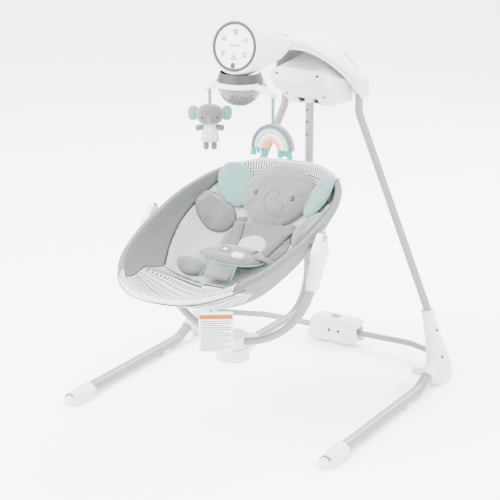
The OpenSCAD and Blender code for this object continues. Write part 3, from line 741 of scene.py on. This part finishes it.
seams = Parts()
for places, half in ((ARMS, ARM_HALF), (FEET, FOOT_HALF)):
    for centre, turn in places.values():
        edge = [drop(surface, u, v, 0.004) for u, v in turned_oval(centre, half, turn, 60, 0.985)]
        seams.tube(edge, 0.0010, closed=True, sides=6)
seams.make("plush_edge_seams", "pipe", "seat", "pillow_cloth")


# ---------- harness ----------

WAIST = (-0.012, 0.008)
waist = flat_oval(WAIST, (0.100, 0.048), -0.099, 0.012, "limb", "waist_pad", 0.004, droop=0.006)
settle(waist, "seat", ["harness"])
edge = Parts()
edge.tube([on_seat(WAIST[0] + 0.1015 * math.cos(a), WAIST[1] + 0.0495 * math.sin(a),
                   -0.0935 - 0.006 * math.cos(a) ** 2)
           for a in np.linspace(math.radians(172), math.radians(368), 48)], 0.0024)
for s in (-1, 1):
    edge.tube([on_seat(-0.014 + s * (0.040 + 0.003 * k), -0.034 - 0.018 * k, -0.096 - 0.0050 * k)
               for k in range(4)], 0.0022)
edge.make("waist_pad_piping", "mintpipe", "seat", "harness_web")


def strap(path, width, thick, mat, name, across=(1, 0, 0)):
    """A flat strap along the path, with its edges rounded over."""
    section = ((-1, -0.4), (-0.96, -1), (0.96, -1), (1, -0.4), (1, 0.4), (0.96, 1), (-0.96, 1), (-1, 0.4))
    p = np.array(path)
    rings = []
    for k in range(len(p)):
        a = p[min(k + 1, len(p) - 1)] - p[max(k - 1, 0)]
        x = np.array(across, float)
        x -= a * (x @ a) / (a @ a)
        x /= np.linalg.norm(x)
        z = np.cross(x, a)
        z /= np.linalg.norm(z)
        h, w = thick / 2, width / 2
        rings.append([p[k] + x * i * w + z * j * h for i, j in section])
    return mesh_piece(name, *loft(rings), mat, "seat", True, "harness_web")


on_body = tree_of(cover, pad, torso, belly)
for s, side in ((-1, "right"), (1, "left")):
    route = [(s * (0.044 + 0.26 * (v - 0.04)), v) for v in np.linspace(0.190, 0.050, 18)]
    pts = [drop(on_body, a, b, 0.004) for a, b in route]
    pts += [on_seat(s * 0.041, 0.034, -0.0860), on_seat(s * 0.036, 0.018, -0.0845)]
    strap(pts, 0.030, 0.004, "web", "shoulder_strap_" + side)
low = [on_seat(0.060, 0.010, -0.089), on_seat(0.094, 0.010, -0.093), drop(surface, 0.128, 0.016, 0.004),
       drop(surface, 0.165, 0.024, 0.003)]
strap(smooth_curve(low, 5), 0.026, 0.0035, "web", "waist_strap_left", across=(0, 1, 0))
# A near-black sheet on the pad right of the crotch panel paints the shadow in the gap between the waist pad
# and the side of the seat.
plush_form("leg_gap_painted_shadow", (0.073, -0.060), (0.045, 0.015), 0.0020, "void", lift=0.008, cap=0.001, turn=0.55)
panel = [on_seat(-0.014, v, w) for v, w in
         ((-0.028, -0.095), (-0.042, -0.099), (-0.060, -0.104), (-0.076, -0.108), (-0.090, -0.1105))]
strap(panel, 0.080, 0.007, "limb", "crotch_panel")


def moulded_block(centre, half, w, height, top):
    """A small plastic block on the harness, with its edges rounded over."""
    rings = [[on_seat(centre[0] + x, centre[1] + y, w + height * h)
              for x, y in oval(half[0] * k, half[1] * k, 32, 0.6)] for k, h in
             ((0.85, 0), (1, 0.2), (1, 0.75), (0.86, 1.0), (0.5, top))]
    return loft(rings)


buckle = Parts()
buckle.add(*moulded_block((0.016, -0.006), (0.019, 0.0105), -0.091, 0.014, 1.05))
buckle.add(*moulded_block((-0.034, 0.012), (0.0060, 0.0055), -0.091, 0.012, 1.05))
buckle.make("harness_buckle", "white", "seat", "harness_web")
slider = Parts().add(*moulded_block((-0.034, 0.012), (0.021, 0.0100), -0.0915, 0.010, 1.0))
slider.make("harness_slider", "web", "seat", "harness_web")
loop = Parts()
loop.disc(drop(surface, 0.178, -0.062, 0.003), UP, 0.006, 0.004)
loop.make("harness_loop", "white", "seat", "harness_web")


# ---------- tag under the foot end ----------

def build_tag():
    wide, z0, z1 = 0.086, 0.305, 0.411
    turn = math.radians(28)
    across = np.array((math.cos(turn), math.sin(turn), 0))
    out = np.array((math.sin(turn), -math.cos(turn), 0))
    centre = np.array((0.146, -0.447, 0)) + 0.0024 * out
    n, m = 14, 24

    def at(k, z, front=0.0):
        """A point of the tag: k from 0 to 1 across it, at height z."""
        wave = 0.0030 * math.sin(3.0 * k + 2.0 * (z - z0) / (z1 - z0)) - 0.0015
        return centre + across * wide * (k - 0.5) + out * (wave + front) + np.array((0, 0, z))

    def sheet(z_low, z_high, inset, name, mat, front):
        verts, faces = [], []
        for side in (-0.0004, 0.0004):
            for k in range(m + 1):
                for i in range(n + 1):
                    z = z_low + (z_high - z_low) * k / m
                    verts.append(at(inset + (1 - 2 * inset) * i / n, z, front - side))
        count = (n + 1) * (m + 1)
        for k in range(m):
            for i in range(n):
                a = k * (n + 1) + i
                faces.append((a, a + 1, a + n + 2, a + n + 1))
                faces.append((count + a, count + a + n + 1, count + a + n + 2, count + a + 1))
        border = [i for i in range(n + 1)] + [k * (n + 1) + n for k in range(1, m + 1)]
        border += [m * (n + 1) + i for i in range(n - 1, -1, -1)] + [k * (n + 1) for k in range(m - 1, 0, -1)]
        for a, b in zip(border, border[1:] + border[:1]):
            faces.append((a, b, count + b, count + a))
        return mesh_piece(name, verts, faces, mat, "seat", True, "tag_cloth")
    tag = sheet(z0, z1, 0, "plain_tag", "tag", 0.0)
    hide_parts("seat_tag")
    sheet(z1 - 0.019, z1 - 0.008, 0.02, "plain_tag_band", "tagband", 0.0009)
    rows = Parts()
    for k in range(15):
        z = z1 - 0.025 - 0.0054 * k
        last = 0.93 if k % 3 < 2 else 0.70
        rows.tube([at(0.06 + (last - 0.06) * i / 8, z, 0.0008) for i in range(9)], 0.0008, sides=6)
    rows.make("plain_tag_rows", "ink", "seat", "tag_cloth")


build_tag()


# ---------- hood and neck of the housing ----------

HEAD_Z, HEAD_Y, HEAD_R, HEAD_TILT = 1.011, -0.114, 0.075, math.radians(9.8)
HOOD_X, NOSE_Y, REAR_Y, WALL = 0.139, 0.1125, 0.395, 0.003


def hood_front(x):
    """Where the hood's front edge is at x: the nose, swept back to the sides."""
    return NOSE_Y + (REAR_Y - 0.05 - NOSE_Y) * (max(abs(x) - 0.018, 0) / (HOOD_X - 0.018)) ** 0.85


def hood_lip(x):
    """The height of the hood's lower edge at x."""
    arch = max(math.cos(math.pi / 2 * x / HOOD_X), 0) ** 0.8
    return 0.8 + 0.175 * arch - 0.013 * math.exp(-(x / 0.022) ** 2)


def hood_arc(x, t):
    """The hood's cut at x, from the front lip over the top to the rear, t inside its skin."""
    quarter = math.pi / 2
    f, l = hood_front(x) + t, hood_lip(x)
    top = 0.857 + 0.143 * max(math.cos(quarter * x / (HOOD_X + 0.002)), 0) ** 1.3 - t
    r, b = REAR_Y - t, 0.8 + 0.0626 * math.cos(quarter * x / HOOD_X)
    m, h = 0.235 + 0.135 * abs(x) / HOOD_X, top - l
    pts = [(f, l), (f + 0.002, l + 0.45 * h), (f + 0.2 * (m - f), l + 0.86 * h), (m, top),
           (m + 0.62 * (r - m), top - 0.16 * (top - b)), (r - 0.001, top - 0.5 * (top - b)), (r, b)]
    return smooth_curve(pts, 6)


def build_hood():
    rings = []
    count = 56
    for k in range(-count, count + 1):
        x = math.sin(k * math.pi / 2 / count) * (HOOD_X - 0.0004)
        end = abs(x) > HOOD_X - WALL
        out = hood_arc(x, 0)
        if end:
            f, r, n = out[0], out[-1], len(out)
            inner = [(f[0] + WALL + (r[0] - f[0] - 2 * WALL) * i / (n - 1), f[1]) for i in range(n)]
        else:
            inner = hood_arc(x, WALL)
        rings.append([(x, p[0], p[1]) for p in out] + [(x, p[0], p[1]) for p in reversed(inner)])
    n = len(rings[0])
    verts, faces = loft(rings, caps=False)
    half = n // 2
    for base in (0, (len(rings) - 1) * n):
        for i in range(half - 1):
            faces.append((base + i, base + i + 1, base + n - 2 - i, base + n - 1 - i))
    hood = mesh_piece("hood_shell", verts, faces, "white", "motor_housing", True, "white_plastic",
                      ["housing_hood"])
    hood.data.set_sharp_from_angle(angle=math.radians(50))
    lip = Parts()
    xs = [math.sin(k * math.pi / 2 / 60) * (HOOD_X - 0.006) for k in range(-60, 61)]
    lip.tube([(x, hood_front(x) + 0.0015, hood_lip(x) + 0.001) for x in xs], 0.0028, sides=10)
    lip.make("hood_lip_bead", "white", "motor_housing", "white_plastic")
    seam = Parts()
    xs = [math.sin(k * math.pi / 2 / 60) * (HOOD_X - 0.008) for k in range(-60, 61)]
    seam.tube([(x, *hood_arc(x, -0.0003)[7]) for x in xs], 0.0009, sides=6)
    for s in (-1, 1):
        for k in range(4):
            line = [(s * x, *hood_arc(x, -0.0004)[22 + 3 * k]) for x in np.linspace(0.072, 0.112, 12)]
            seam.tube(line, 0.0011, sides=6)
    seam.make("hood_grip_lines", "seamgrey", "motor_housing", "white_plastic")


build_hood()


def build_neck():
    stations = [(-0.037, -0.0095, 0.072, 0.0695), (-0.005, -0.0125, 0.067, 0.0625),
                (0.028, -0.0175, 0.060, 0.055), (0.073, -0.027, 0.050, 0.043),
                (NOSE_Y - 0.0004, -0.026, 0.043, 0.026)]
    cols = 96

    def rings(t):
        c, s = math.cos(HEAD_TILT), math.sin(HEAD_TILT)
        drum = oval(HEAD_R - t, HEAD_R - t, cols)
        out = [[(x, HEAD_Y + 0.0484 * c - z * s, HEAD_Z - 0.0484 * s - z * c) for x, z in drum]]
        for y, drop_z, half_x, half_z in smooth_curve(stations, 8):
            out.append([(x, y, HEAD_Z + drop_z - z) for x, z in oval(half_x - t, half_z - t, cols)])
        return out
    ring = rings(0) + rings(WALL)[::-1]
    verts = [p for r in ring for p in r]
    faces = grid_faces(len(ring), cols, closed_rows=True)
    neck = mesh_piece("neck_cover", verts, faces, "white", "motor_housing", True, "white_plastic",
                      ["neck_shell"])
    neck.data.set_sharp_from_angle(angle=math.radians(50))
    end = ring[len(stations) * 8 - 7]
    # Along the top of the joint with the hood a dark line paints the shadow in the gap there; the rest of the
    # joint gets a grey seam line.
    gap = Parts().tube(end[62:84], 0.0022, up=(0, 1, 0))
    gap.make("neck_joint_painted_shadow", "dark", "motor_housing", "white_plastic")
    seam = Parts().tube(end[84:] + end[:62], 0.0014, up=(0, 1, 0))
    seam.make("neck_joint_seam", "seamgrey", "motor_housing", "white_plastic")


build_neck()


# ---------- control panel symbols ----------

def panel_point(x, y, z=0.0):
    c, s = math.cos(HEAD_TILT), math.sin(HEAD_TILT)
    return np.array((x, HEAD_Y + y * s - z * c, HEAD_Z + y * c + z * s))


PANEL_N = panel_point(0, 0, 1) - panel_point(0, 0, 0)
KEYS = {"speed": 90, "timer": 150, "music": 210, "nature": 330, "light": 30}


def key_centre(name):
    if name == "volume":
        return 0.0, -0.028
    a = math.radians(KEYS[name])
    return 0.038 * math.cos(a), 0.038 * math.sin(a)


def build_symbols():
    """Generic line symbols on the keys, the lamps round them and the status bar."""
    petals = [(0.0045 * (1 + 0.22 * math.cos(6 * a)), a) for a in np.linspace(0, TAU, 24, endpoint=False)]
    shapes = {
        "speed": [(r * math.cos(a), r * math.sin(a)) for r, a in petals],
        "timer": [(-0.004, -0.0035), (-0.004, 0.002), (0.0, 0.0045), (0.004, 0.002), (0.004, -0.0035)],
        "music": [(0.0, -0.0048), (-0.0035, 0.0), (-0.002, 0.0042), (0.002, 0.0042), (0.0035, 0.0)],
        "volume": [(-0.0042, -0.0036), (-0.0044, 0.0), (0.0, 0.0045), (0.0044, 0.0), (0.0042, -0.0036)],
        "nature": [(-0.0035, -0.0035), (-0.003, 0.003), (0.0, 0.0045), (0.0035, 0.002), (0.002, -0.003)],
        "light": [(-0.0035, 0.0), (0.0, 0.0038), (0.0036, 0.0), (0.0, -0.0038)],
    }
    for name, pts in shapes.items():
        cx, cy = key_centre(name)
        line = smooth_curve([(cx + 1.1 * x, cy + 1.1 * y) for x, y in pts], 4, True)
        symbol = Parts().tube([panel_point(x, y, -0.0004) for x, y in line], 0.0012,
                              closed=True, sides=6, up=tuple(PANEL_N))
        symbol.make("symbol_" + name, "line", name + "_key", "panel_film")
    dots = Parts()
    for a in (132, 142, 152):
        q = math.radians(a)
        place = panel_point(0.0515 * math.cos(q), 0.0515 * math.sin(q), -0.0012)
        dots.disc(place, PANEL_N, 0.0011, 0.0006, 12)
    for k in (0, 1, 3, 4):
        q = math.radians(238 + 16 * k)
        place = panel_point(0.0505 * math.cos(q) * 0.86, 0.006 + 0.0505 * math.sin(q), -0.0012)
        dots.disc(place, PANEL_N, 0.0011, 0.0006, 12)
    dots.make("panel_lamps", "line", "motor_housing", "panel_film")
    bar = Parts()
    ring = []
    for k, h in ((0.9, 0), (1, 0.2), (1, 0.8), (0.8, 1.0)):
        ring.append([panel_point(-0.001 + 0.017 * k * power(math.cos(i * TAU / 40), 0.35),
                                 0.003 + 0.0026 * k * math.sin(i * TAU / 40), -0.0012 + 0.0008 * h)
                     for i in range(40)])
    bar.add(*loft(ring)).make("panel_status_bar", "teal", "motor_housing", "panel_film")


build_symbols()


# ---------- toys ----------

TIP_X, TIP_Y, TIP_Z = 0.100, -0.085, 0.887      # where the ribbons hang from the toy bar
FACE_TURN = math.radians(30)         # the elephant hangs turned a little on its ribbon


def toy_piece(parts, name, mat, body, voxel=None, cap=0.003):
    obj = mesh_piece(name, parts.verts, parts.faces, mat, None)
    if voxel:
        inflate(obj, voxel, cap, 3.0, down=1.0, frames=12)
    settle(obj, body)
    return obj


def build_elephant():
    slot = "elephant_plush"
    c, s_ = math.cos(FACE_TURN), math.sin(FACE_TURN)

    def hang(parts):
        """Turn a piece drawn round the origin and put it under its ribbon."""
        parts.verts = [np.array((-TIP_X + 0.006 + x * c - y * s_, TIP_Y + x * s_ + y * c, z))
                       for x, y, z in parts.verts]
        return parts
    head = Parts()
    head.blob((0, 0, 0.815), (0.0370, 0.026, 0.0285), 2.3, 18, 32)
    trunk = [(0, -0.022, 0.812), (0, -0.0265, 0.807), (0.001, -0.027, 0.802), (0.004, -0.025, 0.798)]
    head.tube(smooth_curve(trunk, 5), [0.0050] * 6 + [0.0046] * 5 + [0.0040] * 5)
    head = toy_piece(hang(head), "toy_elephant_head", "toygrey", "elephant", 0.0030, 0.0025)
    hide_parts("elephant_toy")
    eyes = Parts()
    for s in (-1, 1):
        eyes.blob((s * 0.0205, -0.0242, 0.8115), (0.0026, 0.0020, 0.0030), rings=8, cols=12)
    hang(eyes).make("toy_elephant_eyes", "dark", "elephant", slot)
    ears = Parts()
    for s in (-1, 1):
        ears.blob((s * 0.0450, 0.006, 0.818), (0.0150, 0.0055, 0.0210), 2.4, 14, 28)
    ears = toy_piece(hang(ears), "toy_elephant_ears", "mint", "elephant", 0.0028, 0.0015)
    rings = []
    for z, a, b in ((0.793, 0.013, 0.010), (0.789, 0.0175, 0.013), (0.778, 0.0195, 0.0145),
                    (0.762, 0.0225, 0.0165), (0.748, 0.0245, 0.0175), (0.742, 0.0240, 0.0170),
                    (0.741, 0.020, 0.014), (0.744, 0.010, 0.007)):
        fold = [math.cos(9 * i * TAU / 72) for i in range(72)]
        rings.append([(x * (1 + 0.025 * f), y * (1 + 0.04 * f), z)
                      for f, (x, y) in zip(fold, oval(a, b, 72))])
    hang(Parts().add(*loft(rings))).make("toy_elephant_dress", "smallgrid", "elephant", slot)
    limbs = Parts()
    for s in (-1, 1):
        arm = [(s * 0.015, 0, 0.782), (s * 0.026, -0.002, 0.780), (s * 0.0385, -0.003, 0.777)]
        leg = [(s * 0.0105, 0, 0.750), (s * 0.0108, 0, 0.735), (s * 0.0112, -0.001, 0.7185)]
        for path, radii, up in ((arm, (0.0070, 0.0086, 0.0080, 0.004), None),
                                (leg, (0.0070, 0.0082, 0.0078, 0.004), (0, 1, 0))):
            path = smooth_curve(path, 5)
            along = np.interp(np.linspace(0, 1, len(path)), (0, 0.6, 0.9, 1), radii)
            limbs.tube(path, along, sides=14, up=up)
    limbs = toy_piece(hang(limbs), "toy_elephant_limbs", "toygrey", "elephant", 0.0024, 0.0012)


def hanging_strip(points, half_wide, half_thick):
    """A flat strip that hangs through the points."""
    return loft([[(x + i * half_wide, y + j * half_thick, z)
                  for i, j in ((-1, -1), (1, -1), (1, 1), (-1, 1))] for x, y, z in points])


def build_rainbow():
    x, y, z0, tall = TIP_X, TIP_Y, 0.7455, 1.08
    slot = "rainbow_plush"
    bands = [("outer", 0.0520, 0.0615, "slate", 0.0108), ("mint", 0.0395, 0.0520, "palemint", 0.0110),
             ("pale", 0.0320, 0.0395, "pale", 0.0110), ("blush", 0.0250, 0.0320, "blush", 0.0108),
             ("peach", 0.0170, 0.0250, "peach", 0.0105)]
    for name, r0, r1, mat, deep in bands:
        mid, half = (r0 + r1) / 2, (r1 - r0) / 2
        rings = []
        for k in range(41):
            a = math.pi * k / 40
            pinch = 0.9 if k in (0, 40) else 1.0
            rings.append([(x + (mid + p) * math.cos(a), y + q, z0 + tall * (mid + p) * math.sin(a))
                          for p, q in oval(half * pinch, deep * pinch, 20, 0.45)])
        obj = mesh_piece("toy_rainbow_" + name, *loft(rings), mat, None)
        settle(obj, "rainbow")
        if name == "mint":
            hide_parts("rainbow_toy")
    fringe = Parts()
    for s in (-1, 1):
        for k, (u, w, steps) in enumerate(((0.0265, 0.0085, 5), (0.0400, 0.0050, 4), (0.0525, 0.0080, 5))):
            pts = [(x + s * u + s * 0.0008 * q * (k - 1),
                    y - 0.003 - 0.002 * k + 0.0008 * math.sin(2.4 * q + k), z0 + 0.001 - 0.0055 * q)
                   for q in range(steps)]
            fringe.add(*hanging_strip(pts, w, 0.0006))
    fringe.make("toy_rainbow_fringe", "fringe", "rainbow", slot)


def build_ribbons():
    for s, body, low in ((-1, "elephant", 0.842), (1, "rainbow", 0.813)):
        x, y = s * TIP_X, TIP_Y
        shift = 0.006 if s < 0 else 0.0
        top = TIP_Z - 0.003
        pts = [(x + shift, y + 0.0006 * math.sin(3 * k), top - (top - low) * k / 10) for k in range(11)]
        strip = Parts().add(*hanging_strip(pts, 0.0045, 0.0007))
        strip.make(body + "_ribbon", "ribbon", body, body + "_plush", smooth=False)
        rings = [[(x + p, y + q, TIP_Z + z) for p, q in oval(a, b, 32, 0.7)] for z, a, b in
                 ((0.0055, 0.006, 0.0045), (0.0045, 0.0085, 0.0062), (-0.001, 0.0100, 0.0070),
                  (-0.0055, 0.0092, 0.0062), (-0.0075, 0.006, 0.004))]
        Parts().add(*loft(rings)).make(body + "_clip", "clip", "toy_arm", "white_plastic")


build_elephant()
build_rainbow()
build_ribbons()


# ---------- hubs, screws and small trim of the stand ----------

HUB_Y, COLLAR_Z = 0.365, 0.201


def build_hub_trim():
    for s, side in ((1, "right"), (-1, "left")):
        body = side + "_side"
        screws = Parts()
        for z, mid, half, back in ((0.078, 0.3905, 0.0245, -0.018), (0.150, 0.370, 0.0190, -0.004)):
            for way, lean in ((1, 0.2), (-1, -0.1)):
                place = (s * (mid + way * (half - 0.0006)), HUB_Y + back, z)
                screws.disc(place, (way * s, -0.25, lean), 0.0052, 0.0016)
        screws.make("hub_screws_" + side, "dark", body, "dark_plastic")
        boss = Parts().disc((s * 0.3528, HUB_Y - 0.077, 0.045), (-s, 0, 0), 0.0095, 0.0016)
        boss.make("hub_boss_cap_" + side, "seamgrey", body, "dark_plastic")
        slot = Parts().blob((s * 0.4030, -0.186, 0.0353), (0.0028, 0.010, 0.0012), rings=8, cols=20)
        slot.make("leg_slot_mark_" + side, "seamgrey", body, "dark_plastic")
        line = [(s * (0.354 + x), HUB_Y + y * (0.022 if y > 0 else 0.017), COLLAR_Z)
                for x, y in oval(0.0162, 1, 60, 0.8)]
        collar = Parts().tube(line, 0.0008, closed=True, sides=6)
        collar.make("hub_collar_line_" + side, "seamgrey", body, "white_plastic")


def build_small_trim():
    cap = Parts()
    for s in (1, -1):
        arc = [(s * 0.264, -0.113 + 0.0185 * math.cos(a), 0.530 + 0.0205 * math.sin(a))
               for a in np.linspace(-0.5, 1.5, 14)]
        along = np.interp(np.linspace(0, 1, 14), (0, 0.5, 1), (0.0015, 0.0048, 0.0015))
        cap.tube(arc, along, sides=12, up=(1, 0, 0))
    cap.make("seat_hub_teal_caps", "teal", "seat_frame", "teal_button")
    screws = Parts()
    for x in (-0.012, 0.020):
        screws.disc((x, 0.4585, 0.046), (0, -1, 0), 0.0048, 0.0016)
    screws.make("hinge_box_screws", "dark", "fold_box", "dark_plastic")
    pod = Parts()
    for x, z in ((0.062, 0.879), (-0.066, 0.876)):
        pod.disc((x, 0.2262, z), (0, -1, 0), 0.0042, 0.0016)
    pod.make("pod_screws", "dark", "motor_housing", "dark_plastic")
    plate = [[(x * 0.044, 0.299 + y * 0.011, z) for x, y in ((-1, -1), (1, -1), (1, 1), (-1, 1))]
             for z in (0.8125, 0.8145)]
    Parts().add(*loft(plate)).make("arm_slot_cover", "white", "swing_arm", "white_plastic", smooth=False)


build_hub_trim()
build_small_trim()


# ---------- materials of the CAD pieces ----------

CAD_LOOK = {
    "white": "housing_pod housing_rear head_shell battery_door toy_bar hub_right hub_left floor_feet_right "
             "floor_feet_left hinge_box arm_collar arm_hanger swivel_base swivel_latch swivel_head "
             "seat_hub_right seat_hub_left",
    "panel": "control_panel key_speed key_timer key_music key_volume key_nature key_light",
    "dark": "bezel_ring key_power power_jack snap_buttons housing_screws",
    "tube": "upright_right upright_left leg_right leg_left brace_right brace_left arm_tube seat_yoke "
            "seat_hoop",
    "steel": "swing_shaft fold_pins hinge_pins drive_magnet",
    "teal": "fold_button recline_button_right recline_button_left",
    "board": "circuit_board", "copper": "drive_coil", "cell": "batteries", "nylon": "arm_bushes",
    "collar": "dome_collar", "dome": "dome_lens",
}
for look, names in CAD_LOOK.items():
    for name in names.split():
        slots = nodes[name].data.materials
        for k in range(len(slots)):
            slots[k] = M[look]


# ---------- floor, light and camera ----------

def build_stage():
    g = Graph("pale_floor", (0.975, 0.975, 0.975), 0.6)
    g.base(g.mix(g.noise(1.5), (0.97, 0.97, 0.97), (0.98, 0.98, 0.98)))
    data = bpy.data.meshes.new("floor")
    size = 30
    corners = [(-size, -size, 0), (size, -size, 0), (size, size, 0), (-size, size, 0)]
    data.from_pydata(corners, [], [(0, 1, 2, 3)])
    floor = bpy.data.objects.new("floor", data)
    bpy.context.scene.collection.objects.link(floor)
    data.materials.append(g.mat)
    world = bpy.data.worlds.new("studio")
    bpy.context.scene.world = world
    world.use_nodes = True
    back = world.node_tree.nodes["Background"]
    back.inputs[0].default_value = (1.0, 1.0, 1.0, 1)
    back.inputs[1].default_value = 5.2

    def lamp(name, place, aim, size, watts):
        light = bpy.data.lights.new(name, "AREA")
        light.size, light.energy = size, watts
        obj = bpy.data.objects.new(name, light)
        obj.location = place
        obj.rotation_mode = "QUATERNION"
        obj.rotation_quaternion = (Vector(aim) - Vector(place)).to_track_quat("-Z", "Y")
        bpy.context.scene.collection.objects.link(obj)
    lamp("key", (-1.6, -2.2, 3.2), (0, 0, 0.5), 2.6, 620)
    lamp("fill", (2.8, -1.6, 1.8), (0, 0, 0.6), 2.8, 120)
    lamp("back", (0.6, 2.6, 2.6), (0, 0, 0.6), 2.4, 330)


def build_camera():
    cam = bpy.data.cameras.new("camera")
    cam.lens, cam.sensor_width = 120.1, 36.0
    cam.clip_end = 60
    obj = bpy.data.objects.new("camera", cam)
    place, aim = Vector((2.2172, -3.7747, 1.8109)), Vector((-0.1178, 0.1650, 0.3635))
    obj.location = place
    obj.rotation_mode = "QUATERNION"
    obj.rotation_quaternion = (aim - place).to_track_quat("-Z", "Y")
    bpy.context.scene.collection.objects.link(obj)
    bpy.context.scene.camera = obj


build_stage()
build_camera()
